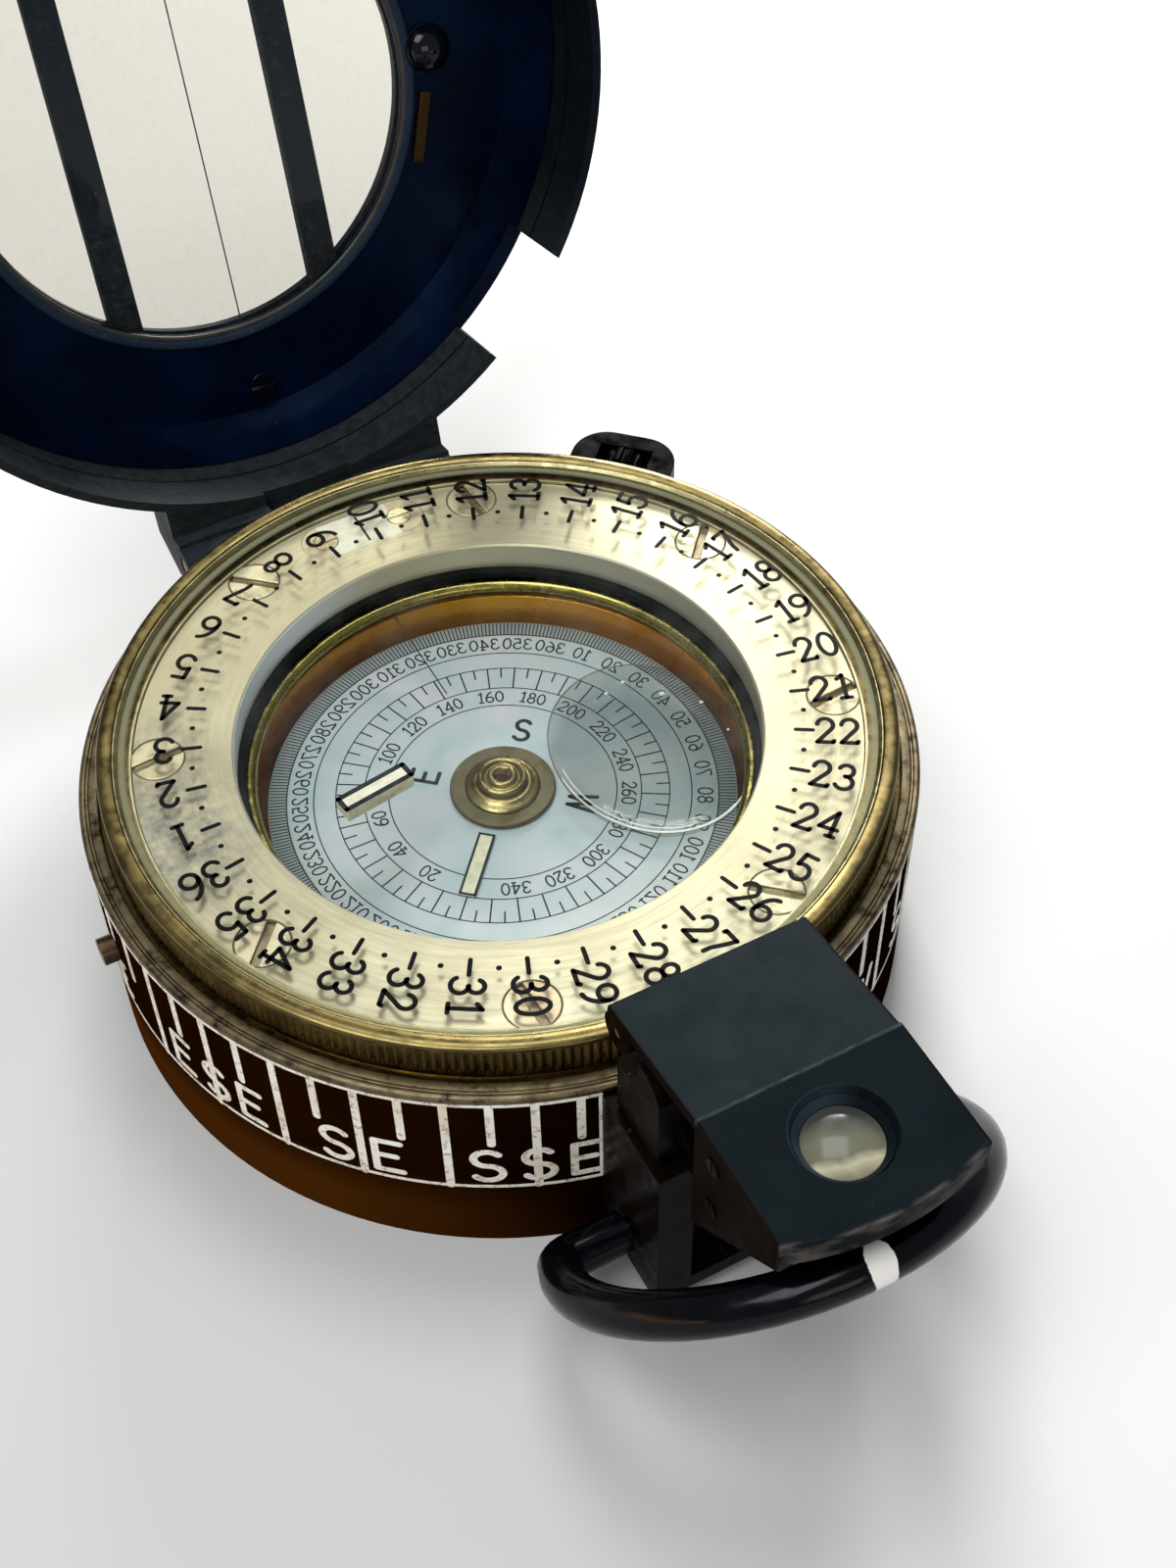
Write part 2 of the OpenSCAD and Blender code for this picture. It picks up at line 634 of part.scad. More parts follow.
// Knurled brass ring that turns on the case
module bezel_ring() {
    rib_h = 0.2;
    knurl_low = case_top + 0.3;
    knurl_high = bezel_top - 0.75;
    glass_bore = bezel_glass_r + seat_gap;
    crest_r = bezel_r - 0.85;
    core_r = bezel_r - rib_h - 0.15;
    peak_r = bezel_r - 0.02;
    color([0.62, 0.47, 0.16]) {
        rotate_extrude() polygon([
            [bezel_in_r, foot_bottom], [foot_r, foot_bottom], [foot_r, foot_top], [core_r, foot_top],
            [core_r, knurl_high], [bezel_r, knurl_high], [bezel_r, bezel_top - 0.25],
            [crest_r, bezel_top], [glass_bore, bezel_top], [glass_bore, glass_bottom],
            [bezel_in_r, glass_bottom]
        ]);
        translate([0, 0, knurl_low]) linear_extrude(knurl_high + 0.1 - knurl_low) difference() {
            polygon([for (i = [0:2 * knurl_n - 1])
                (peak_r - rib_h * (i % 2)) * [cos(i * 180 / knurl_n), sin(i * 180 / knurl_n)]]);
            circle(core_r - 0.3);
        }
    }
}

// Glass of the bezel, slotted for the index strip
module bezel_glass() {
    color([0.85, 0.93, 0.92, 0.3]) difference() {
        translate([0, 0, glass_bottom]) cylinder(r = bezel_glass_r, h = bezel_glass_t);
        rotate([0, 0, index_angle])
            translate([index_r - index_len / 2 - seat_gap, -index_w / 2 - seat_gap, glass_bottom - 1])
                cube([index_len + 2 * seat_gap, index_w + 2 * seat_gap, 3]);
    }
}

// Thin ring sprung into the bezel over the edge of its glass
module bezel_lip() {
    color([0.85, 0.7, 0.3]) rotate_extrude() polygon([
        [bezel_glass_r - 0.4, glass_top], [bezel_glass_r, glass_top], [bezel_glass_r, bezel_top - 0.1],
        [bezel_glass_r - 0.4, bezel_top - 0.36]
    ]);
}

// Luminous strip set in the bezel glass
module index_strip() {
    color([0.93, 0.92, 0.8]) rotate([0, 0, index_angle])
        translate([index_r - index_len / 2, -index_w / 2, glass_top - index_t])
            cube([index_len, index_w, index_t]);
}

// Thin printed disc of the compass card
module card_disc() {
    color([0.75, 0.84, 0.85]) tube(card_hub_r - 1.5, card_r, card_bottom, card_z);
}

// Float under the card, with its hub through the card
module card_float() {
    color([0.35, 0.25, 0.12]) rotate_extrude() polygon([
        [post_r + 0.7, card_bottom - 2.4], [8.2, card_bottom - 2.4], [9, card_bottom - 1.6], [9, card_bottom],
        [card_hub_r - 1.5 - seat_gap, card_bottom], [card_hub_r - 1.5 - seat_gap, card_z],
        [card_hub_r, card_z], [card_hub_r, card_z + 0.5], [post_r + 0.7, card_z + 0.5]
    ]);
}

// Stepped brass cap over the pivot
module card_cap() {
    cap_z = card_z + 0.5;
    color([0.6, 0.47, 0.22]) rotate_extrude() polygon([
        [0.85, cap_z], [3.1, cap_z], [3.1, cap_z + 0.3], [2.2, cap_z + 0.6], [2.2, cap_z + 0.8],
        [1.5, cap_z + 1.0],
        [1.4, cap_z + 1.4], [0, cap_z + 1.4], [0, cap_z + 1.0], [0.85, cap_z + 1.0]
    ]);
}

// Jewel with a conical seat for the pivot point
module card_jewel() {
    jewel_z = card_z + 0.75;
    color([0.7, 0.1, 0.15]) rotate_extrude() polygon([
        [0.83, jewel_z], [0.83, jewel_z + 0.73], [0, jewel_z + 0.73], [0, jewel_z + 0.35], [0.6, jewel_z]
    ]);
}

// Two bar magnets under the float
module card_magnets() {
    color([0.3, 0.3, 0.32]) rotate([0, 0, north_angle]) for (y = [-1, 1])
        translate([-7, y * 4.2 - 0.75, card_bottom - 2.4 - 1.6]) cube([14, 1.5, 1.6]);
}

// Luminous bar that marks north on the card
module north_bar() {
    color([0.94, 0.93, 0.82]) rotate([0, 0, north_angle])
        translate([5.0, -0.6, card_z]) cube([6.3, 1.2, 0.25]);
}

// Lid with its knuckles, open for the bars, the bracket and the clamp
module lid_shell() {
    top_r = lid_r - 1.2;
    color([0.1, 0.14, 0.2]) on_lid() difference() {
        union() {
            rotate_extrude() polygon([
                [0, lid_glass_z], [lid_in_r - 2.5, lid_glass_z], [lid_in_r - 0.85, lid_glass_z - 3.05],
                [lid_in_r, lid_glass_z - 9.3], [lid_in_r, lid_rim_z], [lid_r, lid_rim_z],
                [lid_r, lid_top - 0.7], [lid_r - 0.35, lid_top - 0.2], [top_r, lid_top], [0, lid_top]
            ]);
            difference() {
                union() {
                    translate([-lug_w / 2, lid_r - 4, hinge_z])
                        cube([lug_w, hinge_y + knuckle_r - lid_r + 4, 7]);
                    translate([-lug_w / 2, hinge_y, hinge_z]) rotate([0, 90, 0])
                        cylinder(r = knuckle_r, h = lug_w);
                }
                translate([0, 0, -1]) cylinder(r = lid_in_r, h = 60);
                translate([-20, 0, 0]) cube([40, lid_r + 0.1, lid_rim_z]);
                translate([-20, hinge_y, hinge_z]) rotate([0, 90, 0])
                    cylinder(r = hinge_pin_r + run_gap, h = 40);
                translate([-20, hinge_y + knuckle_r, hinge_z + 2.5]) rotate([28, 0, 0]) translate([0, 0, -1])
                    cube([40, 6, 12]);
            }
        }
        translate([-mid_knuckle_w / 2 - body_gap, lid_in_r - 5, 0])
            cube([mid_knuckle_w + 2 * body_gap, 15, hinge_z + knuckle_r + body_gap]);
        translate([-bracket_w / 2 - lid_gap, -lid_r - 5, 0])
            cube([bracket_w + 2 * lid_gap, lid_r + 5 + prism_hinge_y + prism_eye_r + body_gap, 60]);
        rotate([0, 0, clamp_angle]) translate([lid_in_r - 3, -5.3, 0]) cube([10, 10.6, guard_top + 4.2]);
        translate([0, window_y, 0]) {
            cylinder(r = window_r, h = 60);
            translate([0, 0, window_seat_z]) cylinder(r = window_ring_r + seat_gap, h = 20);
        }
        for (x = [-1, 1]) translate([x * bar_x, window_y, lid_top - 0.4]) intersection() {
            translate([-bar_w / 2 - seat_gap, -30, 0]) cube([bar_w + 2 * seat_gap, 60, 2]);
            translate([-x * bar_x, 0, -1]) cylinder(r = window_ring_r + 1.5 + seat_gap, h = 4);
        }
        translate([knob_x, window_y + knob_y, lid_glass_z - 1]) cylinder(r = 0.8 + seat_gap, h = 1.38);
        translate([1.0, window_y + 26.3, lid_glass_z - 1]) cylinder(r = 0.6 + seat_gap, h = 2);
    }
}

// Glass of the lid's window
module window_glass() {
    color([0.8, 0.88, 0.92, 0.25]) on_lid() translate([0, window_y, window_seat_z])
        cylinder(r = window_glass_r, h = window_glass_t);
}

// Ring that holds the window glass from outside
module window_ring() {
    glass_r = window_glass_r + seat_gap;
    glass_z = window_seat_z + window_glass_t + seat_gap;
    color([0.1, 0.12, 0.16]) on_lid() translate([0, window_y, 0]) difference() {
        rotate_extrude() polygon([
            [window_r, glass_z], [glass_r, glass_z], [glass_r, window_seat_z], [window_ring_r, window_seat_z],
            [window_ring_r, lid_top + 0.4], [window_r, lid_top + 0.4]
        ]);
        for (x = [-1, 1]) translate([x * bar_x - bar_w / 2 - seat_gap, -30, lid_top - 0.4])
            cube([bar_w + 2 * seat_gap, 60, 2]);
    }
}

// Two dark guard bars across the outside of the window
module window_bars() {
    color([0.05, 0.05, 0.06]) on_lid() translate([0, window_y, 0]) intersection() {
        for (x = [-1, 1]) translate([x * bar_x - bar_w / 2, -30, lid_top - 0.4]) cube([bar_w, 60, 1.3]);
        translate([0, 0, lid_top - 2]) cylinder(r = window_ring_r + 1.5, h = 6);
    }
}

// Small round knob inside the lid
module lid_knob() {
    color([0.12, 0.13, 0.16]) on_lid()
        translate([knob_x, window_y + knob_y, lid_glass_z]) mirror([0, 0, 1]) {
            cylinder(r = 1.9, h = 0.8);
            translate([0, 0, 0.8]) cylinder(r = 1.5, h = 0.5);
            translate([0, 0, -0.35]) cylinder(r = 0.8, h = 0.6);
        }
}

// Thin brass leaf beside the knob
module lid_leaf() {
    color([0.75, 0.6, 0.28]) on_lid()
        translate([knob_x - 0.3, window_y + 4.1, lid_glass_z - 0.4]) rotate([0, 0, 17.3])
            translate([-0.5, 0, 0]) cube([1, 6.4, 0.4]);
}

// Small screw inside the lid, near the hinge
module lid_screw() {
    color([0.55, 0.46, 0.3]) on_lid() translate([1.0, window_y + 26.3, lid_glass_z]) mirror([0, 0, 1])
        translate([0, 0, 0.5]) slotted_screw(1.2, 0.5, 0.6, 1.3, 0.3, 0.25);
}

// Screw that clamps the bezel, with a knurled head
module clamp_screw() {
    head_from = case_r + 2.3;
    tip_from = case_r - 1.8;
    color([0.3, 0.28, 0.27]) along_clamp() {
        translate([0, 0, tip_from]) cylinder(r = clamp_shank_r, h = head_from - tip_from + eps);
        translate([0, 0, head_from]) difference() {
            cylinder(r = clamp_head_r, h = 1.7);
            for (i = [0:11]) rotate([0, 0, 30 * i])
                translate([clamp_head_r + 0.1, 0, -1]) cylinder(r = 0.3, h = 4);
        }
    }
}

// Slide of the prism: a tongue in the bracket, a body above it and two ears at the hinge
module prism_slide() {
    tongue_y = -slot_back - slide_gap;
    low = bracket_top + 0.4;
    ear_in = prism_w / 2 - 2.6;
    ear_out = prism_w / 2 - 1.0;
    color([0.12, 0.1, 0.1]) difference() {
        union() {
            translate([-tongue_w / 2, tongue_y - tongue_t, bracket_bottom + 1.7])
                cube([tongue_w, tongue_t, low + 0.5 - bracket_bottom - 1.7]);
            across(prism_w) polygon([
                [-case_r - body_gap, low], [-bracket_front + 1.1, low],
                [-bracket_front + 1.1, prism_hinge_z - 1.2],
                [-bracket_front + 1.8, prism_hinge_z - 0.1], [-bracket_front + 2.8, prism_hinge_z + 0.4],
                [prism_hinge_y - sweep_r - 0.4, prism_hinge_z + 0.4],
                [prism_hinge_y - sweep_r - 0.4, prism_hinge_z - 1.2],
                [prism_hinge_y - 1.9, prism_hinge_z - sweep_r - 0.2],
                [-case_r - body_gap, prism_hinge_z - sweep_r - 0.2]
            ]);
            for (x = [-1, 1]) translate([x * (ear_in + ear_out) / 2, 0, 0]) {
                across(ear_out - ear_in) polygon([
                    [prism_hinge_y, prism_hinge_z - prism_knuckle_r],
                    [prism_hinge_y, prism_hinge_z + prism_knuckle_r],
                    [prism_hinge_y - sweep_r - 1, prism_hinge_z + 0.4],
                    [prism_hinge_y - sweep_r - 1, prism_hinge_z - prism_knuckle_r - 0.4]
                ]);
                translate([-(ear_out - ear_in) / 2, prism_hinge_y, prism_hinge_z]) rotate([0, 90, 0])
                    cylinder(r = prism_knuckle_r, h = ear_out - ear_in);
            }
            across(12) polygon([
                [-bracket_front + 2, low], [-bracket_front - 1.9, low], [-bracket_front - 1.9, low + 0.8],
                [-bracket_front + 1.1, low + 3.6], [-bracket_front + 2, low + 3.6]
            ]);
        }
        translate([-20, prism_hinge_y, prism_hinge_z]) rotate([0, 90, 0])
            cylinder(r = prism_pin_r + seat_gap, h = 40);
    }
}

// Pin of the prism hinge, held in the slide's ears
module prism_hinge_pin() {
    color([0.6, 0.5, 0.3]) translate([-prism_w / 2 + 0.1, prism_hinge_y, prism_hinge_z]) rotate([0, 90, 0])
        cylinder(r = prism_pin_r, h = prism_w - 0.2);
}

// Housing of the prism, hollow, with the reading window above the lens
module prism_housing() {
    eye_y = prism_near_y;
    low_corner = prism_low_z;
    color([0.14, 0.17, 0.19]) difference() {
        union() {
            across(prism_w) polygon([
                [eye_y, low_corner], [eye_y, prism_top_z], [prism_far_y, prism_top_z],
                [prism_far_y, prism_top_z - prism_front_h], [eye_y - 0.4, low_corner]
            ]);
            translate([0, 0, prism_top_z - 2.2]) linear_extrude(2.2) intersection() {
                translate([0, prism_far_y - prism_bow + bow_r]) circle(r = bow_r);
                translate([-prism_w / 2, prism_far_y - prism_bow - 1]) square([prism_w, prism_bow + 2]);
            }
        }
        across(prism_w - 2 * prism_wall) polygon([
            [eye_y + 1, low_corner + 2.0], [eye_y + 1, prism_top_z - prism_wall],
            [prism_far_y + prism_wall, prism_top_z - prism_wall],
            [prism_far_y + prism_wall, prism_top_z - prism_front_h + 0.4], [eye_y - 1.0, low_corner + 2.0]
        ]);
        translate([0, lens_y, prism_top_z - 3]) cylinder(r = lens_r, h = 5);
        translate([0, lens_y, lens_ledge_z]) cylinder(r1 = lens_r + 0.2, r2 = lens_recess_r, h = prism_wall - 0.3 + eps);
        for (x = [-1, 1], p = [[-2.4, -2.2], [-2.4, -7.2]])
            translate([x * prism_w / 2, eye_y + p[0], prism_top_z + p[1]]) rotate([0, 90, 0])
                translate([0, 0, -2]) cylinder(r = 0.45 + screw_gap, h = 4);
    }
}

// Plate from the hinge to the housing, with its knuckle and side cheeks
module prism_flap() {
    lift = (prism_top_z - 0.25) - (prism_hinge_z + 1.9);
    run = prism_hinge_y + 1.1 - prism_near_y;
    edge_y = prism_hinge_y + 1.1;
    edge_z = prism_hinge_z + 1.9;
    cheek = 0.75;
    color([0.15, 0.19, 0.22]) difference() {
        union() {
            across(flap_w) polygon([
                [edge_y, edge_z], [edge_y + 0.15, edge_z - 0.75], [edge_y - 0.3, edge_z - 0.85],
                [prism_near_y, prism_top_z - 1.2], [prism_near_y, prism_top_z - 0.25]
            ]);
            for (x = [-1, 1]) translate([x * (flap_w - cheek) / 2, 0, 0]) {
                translate([-cheek / 2, prism_hinge_y, prism_hinge_z]) rotate([0, 90, 0])
                    cylinder(r = prism_eye_r, h = cheek);
                across(cheek) polygon([
                    [prism_hinge_y + 1.0, prism_hinge_z], [edge_y, edge_z - 0.5],
                    [edge_y - 3, edge_z - 0.4], [prism_hinge_y - 1.5, prism_hinge_z]
                ]);
            }
            translate([-4.4, prism_hinge_y, prism_hinge_z]) rotate([0, 90, 0])
                cylinder(r = prism_eye_r, h = 8.8);
            across(8.8) polygon([
                [prism_hinge_y + 1.0, prism_hinge_z], [edge_y - 0.2, edge_z - 0.5],
                [edge_y - 2.4, edge_z - 0.3], [prism_hinge_y - 1.5, prism_hinge_z]
            ]);
        }
        translate([-20, prism_hinge_y, prism_hinge_z]) rotate([0, 90, 0])
            cylinder(r = prism_pin_r + run_gap, h = 40);
    }
}

// Glass prism in the housing
module prism_glass() {
    w = prism_w - 2 * prism_wall - 2 * seat_gap;
    color([0.7, 0.8, 0.85, 0.4]) across(w) polygon([
        [prism_near_y - 0.1, prism_low_z + 2.0 + seat_gap], [prism_near_y - 0.1, prism_top_z - 2.3],
        [prism_far_y + 2.0, prism_top_z - 2.3], [prism_near_y - 1.0, prism_low_z + 2.0 + seat_gap]
    ]);
}

// Reading lens over the prism
module reading_lens() {
    edge = lens_r - 0.35;
    color([0.75, 0.85, 0.9, 0.4]) translate([0, lens_y, prism_top_z - 2.2]) rotate_extrude() polygon(concat(
        [[0, 0], [edge, 0]], [for (i = [0:12]) [edge * (1 - i / 12), 1 + 0.5 * (1 - pow(1 - i / 12, 2))]]
    ));
}

// Cell of the reading lens
module lens_cell() {
    color([0.2, 0.2, 0.22]) translate([0, lens_y, 0]) rotate_extrude() polygon([
        [lens_r - 0.33, prism_top_z - 2.2], [lens_r - seat_gap, prism_top_z - 2.2],
        [lens_r - seat_gap, lens_ledge_z + seat_gap], [lens_r + 0.15, lens_ledge_z + seat_gap],
        [lens_r + 0.15, lens_ledge_z + 0.2], [lens_r - 0.33, prism_top_z - 1.15]
    ]);
}

// Four small screws in the housing's sides
module prism_screws() {
    color([0.5, 0.45, 0.4]) for (x = [-1, 1], p = [[-2.4, -2.2], [-2.4, -7.2]])
        translate([x * (prism_w / 2 + 0.15), prism_near_y + p[0], prism_top_z + p[1]]) rotate([0, x * 90, 0])
            slotted_screw(0.7, 0.15, 0.45, 1.1, 0.2, 0.1);
}

// Thumb ring, a bent bar with its ends turned in to the bracket
module thumb_ring() {
    left = ring_half(-1);
    right = ring_half(1);
    line = concat(left, [for (i = [len(right) - 2:-1:0]) right[i]]);
    color([0.06, 0.06, 0.08]) translate([0, ring_pivot_y, ring_pivot_z]) {
        rotate([180 - ring_angle, 0, 0]) bent_bar(line, ring_bar_r, ring_sides);
        for (x = [-1, 1]) translate([x * (trunnion_x - 1.5), 0, 0]) rotate([0, x * 90, 0])
            cylinder(r = ring_pin_r, h = 2.3);
    }
}

case_body();
base_cover();
base_screws();
liquid_bowl();
expansion_diaphragm();
filler_plug();
pivot_post();
pivot_point();
bowl_gasket();
inner_glass();
glass_ring();
dial_plate();
plate_screws();
lubber_patch();
patch_screws();
bezel_keeper();
hinge_block();
hinge_screws();
lid_hinge_pin();
lid_stud();
clamp_guard();
clamp_shoe();
prism_bracket();
bracket_screws();
bezel_ring();
bezel_glass();
bezel_lip();
index_strip();
card_disc();
card_float();
card_cap();
card_jewel();
card_magnets();
north_bar();
lid_shell();
window_glass();
window_ring();
window_bars();
lid_knob();
lid_leaf();
lid_screw();
clamp_screw();
prism_slide();
prism_hinge_pin();
prism_housing();
prism_flap();
prism_glass();
reading_lens();
lens_cell();
prism_screws();
thumb_ring();
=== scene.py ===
import json
import math
import bmesh
import bpy
import numpy as np
from mathutils import Matrix, Vector

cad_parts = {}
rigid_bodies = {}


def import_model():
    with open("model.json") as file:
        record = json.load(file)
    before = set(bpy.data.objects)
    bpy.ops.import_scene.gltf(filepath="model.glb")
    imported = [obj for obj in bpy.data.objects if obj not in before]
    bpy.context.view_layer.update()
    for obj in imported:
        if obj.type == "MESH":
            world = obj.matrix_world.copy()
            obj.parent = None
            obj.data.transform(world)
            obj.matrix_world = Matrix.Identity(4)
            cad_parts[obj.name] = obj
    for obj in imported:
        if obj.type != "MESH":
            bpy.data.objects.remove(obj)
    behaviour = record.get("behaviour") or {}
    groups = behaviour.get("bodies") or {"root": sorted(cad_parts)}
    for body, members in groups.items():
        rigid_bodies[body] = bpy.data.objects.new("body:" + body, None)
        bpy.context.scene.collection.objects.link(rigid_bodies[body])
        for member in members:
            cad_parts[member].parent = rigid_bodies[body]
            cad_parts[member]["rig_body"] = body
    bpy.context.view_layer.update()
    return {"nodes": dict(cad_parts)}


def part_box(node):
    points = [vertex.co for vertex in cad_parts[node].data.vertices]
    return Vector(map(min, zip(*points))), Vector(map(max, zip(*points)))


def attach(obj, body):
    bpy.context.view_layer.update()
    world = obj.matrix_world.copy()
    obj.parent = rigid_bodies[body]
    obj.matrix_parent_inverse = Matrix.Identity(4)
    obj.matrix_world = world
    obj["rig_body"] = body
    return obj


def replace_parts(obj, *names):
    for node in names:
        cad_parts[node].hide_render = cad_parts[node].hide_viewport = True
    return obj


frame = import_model()
nodes = frame["nodes"]
MM = 0.001

# Camera, floor and light
# The camera stands where the picture was taken, above and beside the prism. The focal length and the
# turn come from the bezel's ring of 36 ticks, which fixes both.
CAMERA_AT = (-46.354, -105.057, 148.372)
CAMERA_RIGHT = (0.88160, -0.47181, -0.01313)
CAMERA_DOWN = (-0.36617, -0.66612, -0.64978)
CAMERA_AHEAD = (0.29783, 0.57765, -0.76001)
FOCAL_PIXELS = 2211.75
PICTURE_HEIGHT = 1600
AIM_AT = Vector((0, 0, 0.02))
FLOOR_HALF = 0.9


def link_object(name, data):
    """New object in the scene that shows some data."""
    obj = bpy.data.objects.new(name, data)
    bpy.context.scene.collection.objects.link(obj)
    return obj


def aim_camera():
    data = bpy.data.cameras.new("camera")
    data.sensor_width = 36.0
    data.lens = data.sensor_width * FOCAL_PIXELS / PICTURE_HEIGHT
    data.clip_start = 0.001
    camera = link_object("camera", data)
    turn = Matrix((CAMERA_RIGHT, [-c for c in CAMERA_DOWN], [-c for c in CAMERA_AHEAD])).transposed()
    camera.matrix_world = Matrix.Translation(Vector(CAMERA_AT) * MM) @ turn.to_4x4()
    bpy.context.scene.camera = camera


def soft_lamp(name, at, size, watts, colour):
    """Soft rectangular lamp in metres and watts, aimed at the compass."""
    lamp = bpy.data.lights.new(name, "AREA")
    lamp.shape = "RECTANGLE"
    lamp.size, lamp.size_y = size
    lamp.energy = watts
    lamp.color = colour
    obj = link_object(name, lamp)
    obj.location = at
    obj.rotation_euler = (AIM_AT - Vector(at)).to_track_quat("-Z", "Y").to_euler()


def studio():
    world = bpy.data.worlds.new("studio")
    world.use_nodes = True
    sky = world.node_tree.nodes["Background"]
    sky.inputs["Color"].default_value = (0.93, 0.96, 1.0, 1.0)
    sky.inputs["Strength"].default_value = 0.32
    bpy.context.scene.world = world
    soft_lamp("window", (0.30, 0.55, 0.32), (0.26, 0.20), 8.5, (1.0, 0.99, 0.96))
    soft_lamp("sky", (0.09, 0.16, 0.58), (0.24, 0.24), 1.5, (0.96, 0.98, 1.0))
    soft_lamp("overhead", (-0.28, -0.12, 0.60), (0.40, 0.40), 3.4, (0.98, 0.99, 1.0))
    soft_lamp("front", (-0.10, -0.60, 0.22), (0.30, 0.20), 0.5, (1.0, 0.93, 0.85))
    soft_lamp("table_glow", (-0.45, 0.02, 0.03), (0.50, 0.06), 0.25, (1.0, 0.52, 0.24))
    mesh = bpy.data.meshes.new("floor")
    corners = [(x * FLOOR_HALF, y * FLOOR_HALF, 0) for x, y in ((-1, -1), (1, -1), (1, 1), (-1, 1))]
    mesh.from_pydata(corners, [], [(0, 1, 2, 3)])
    pale = bpy.data.materials.new("pale_floor")
    pale.use_nodes = True
    matt = pale.node_tree.nodes["Principled BSDF"]
    matt.inputs["Base Color"].default_value = (0.48, 0.48, 0.475, 1)
    matt.inputs["Roughness"].default_value = 0.7
    mesh.materials.append(pale)
    link_object("floor", mesh)


aim_camera()
studio()
bpy.context.scene.view_settings.view_transform = "Standard"
bpy.context.scene.cycles.transparent_max_bounces = 32

# Case
# A turned brass cup, enamelled brown-black, that every other part is screwed to or set in. Its edges are
# broken by a file's width, and a painted warm glow of reflected table light lies low down on one side.
CASE_R = 33.25
FINE_MERGE = 0.0005
EDGE_ANGLE = 32


def clean_copy(source, mesh, merge, flatten=False):
    """The source's faces put in a mesh, with doubles merged and normals outwards. flatten also joins the
    triangles of each flat face."""
    shape = bmesh.new()
    shape.from_mesh(source)
    bmesh.ops.remove_doubles(shape, verts=shape.verts, dist=merge * MM)
    bmesh.ops.dissolve_degenerate(shape, edges=shape.edges, dist=FINE_MERGE * MM)
    if flatten:
        one_plane = math.radians(0.5)
        bmesh.ops.dissolve_limit(shape, angle_limit=one_plane, verts=shape.verts, edges=shape.edges)
    bmesh.ops.recalc_face_normals(shape, faces=shape.faces)
    shape.to_mesh(mesh)
    shape.free()


def seat_piece(name, mesh, smooth, material, body):
    """Object of a finished mesh on its body, smooth but for edges over an angle."""
    mesh.polygons.foreach_set("use_smooth", np.ones(len(mesh.polygons), bool))
    mesh.set_sharp_from_angle(angle=math.radians(smooth))
    mesh.materials.append(material)
    obj = link_object(name, mesh)
    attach(obj, body)
    return obj


def refine(name, material, width=0.1):
    """Copy of a CAD solid with its flat faces whole and its edges broken by a small round of the given
    width in millimetres."""
    solid = nodes[name]
    mesh = bpy.data.meshes.new(name + "_finished")
    clean_copy(solid.data, mesh, FINE_MERGE, flatten=True)
    obj = seat_piece(name + "_finished", mesh, EDGE_ANGLE, material, solid["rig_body"])
    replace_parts(obj, name)
    if width:
        edges = obj.modifiers.new("edges", "BEVEL")
        edges.width = width * MM
        edges.segments = 2
        edges.limit_method = "ANGLE"
        edges.angle_limit = math.radians(EDGE_ANGLE)
        edges.use_clamp_overlap = True
        flat = obj.modifiers.new("flat", "WEIGHTED_NORMAL")
        flat.weight = 60
        flat.keep_sharp = True
    return obj


def shader(name, metallic=0.0, roughness=0.4, coat=0.0, coat_roughness=0.1, specular=0.5):
    """New material and its shader p, with the constants set on the shader itself."""
    material = bpy.data.materials.new(name)
    material.use_nodes = True
    p = material.node_tree.nodes["Principled BSDF"]
    p.inputs["Metallic"].default_value = metallic
    p.inputs["Roughness"].default_value = roughness
    p.inputs["Coat Weight"].default_value = coat
    p.inputs["Coat Roughness"].default_value = coat_roughness
    p.inputs["Specular IOR Level"].default_value = specular
    return material, p


def add(tree, kind, **settings):
    """New node of a kind. A setting is an option of the node's, or else the default of an input."""
    node = tree.nodes.new("ShaderNode" + kind)
    for key, value in settings.items():
        label = key.replace("_", " ")
        if hasattr(node, key):
            setattr(node, key, value)
        elif label in node.inputs:
            node.inputs[label].default_value = value
        else:
            raise KeyError(kind + " has no " + key)
    return node


def feed(node, label, value):
    """Feed a node's input from a socket or, where the value is one, with plain numbers."""
    if isinstance(value, bpy.types.NodeSocket):
        node.id_data.links.new(value, node.inputs[label])
    else:
        node.inputs[label].default_value = (*value, 1.0) if isinstance(value, tuple) else value


def noise(p, scale, stretch=(1, 1, 1), detail=4.0, rough=0.55, shift=(0, 0, 0), warp=0.0):
    """Cloudy factor on Object coordinates in the material of a node p. scale is in features per
    millimetre."""
    tree = p.id_data
    where = add(tree, "TexCoord")
    place = add(tree, "Mapping", Scale=[s / MM for s in stretch], Location=shift)
    cloud = add(tree, "TexNoise", Scale=scale, Detail=detail, Roughness=rough, Distortion=warp)
    feed(place, "Vector", where.outputs["Object"])
    feed(cloud, "Vector", place.outputs["Vector"])
    return cloud.outputs["Fac"]


def ramp(factor, stops):
    """Colour for a factor, from (place, colour) stops."""
    node = add(factor.id_data, "ValToRGB")
    band = node.color_ramp
    while len(band.elements) < len(stops):
        band.elements.new(0.5)
    for element, (place, colour) in zip(band.elements, stops):
        element.position = place
        element.color = (*colour, 1.0)
    feed(node, "Fac", factor)
    return node.outputs["Color"]


def between(factor, low, high, out_low=0.0, out_high=1.0):
    """Factor spread from low..high to out_low..out_high, and held there outside."""
    node = add(factor.id_data, "MapRange", From_Min=low, From_Max=high, To_Min=out_low, To_Max=out_high)
    feed(node, "Value", factor)
    return node.outputs["Result"]


def sums(kind, a, b=0.0):
    """Math on a factor and another factor or a plain number."""
    node = add(a.id_data, "Math", operation=kind)
    feed(node, 0, a)
    feed(node, 1, b)
    return node.outputs["Value"]


def times(first, *others):
    """Product of factors, of which all but the first may be plain numbers."""
    for other in others:
        first = sums("MULTIPLY", first, other)
    return first


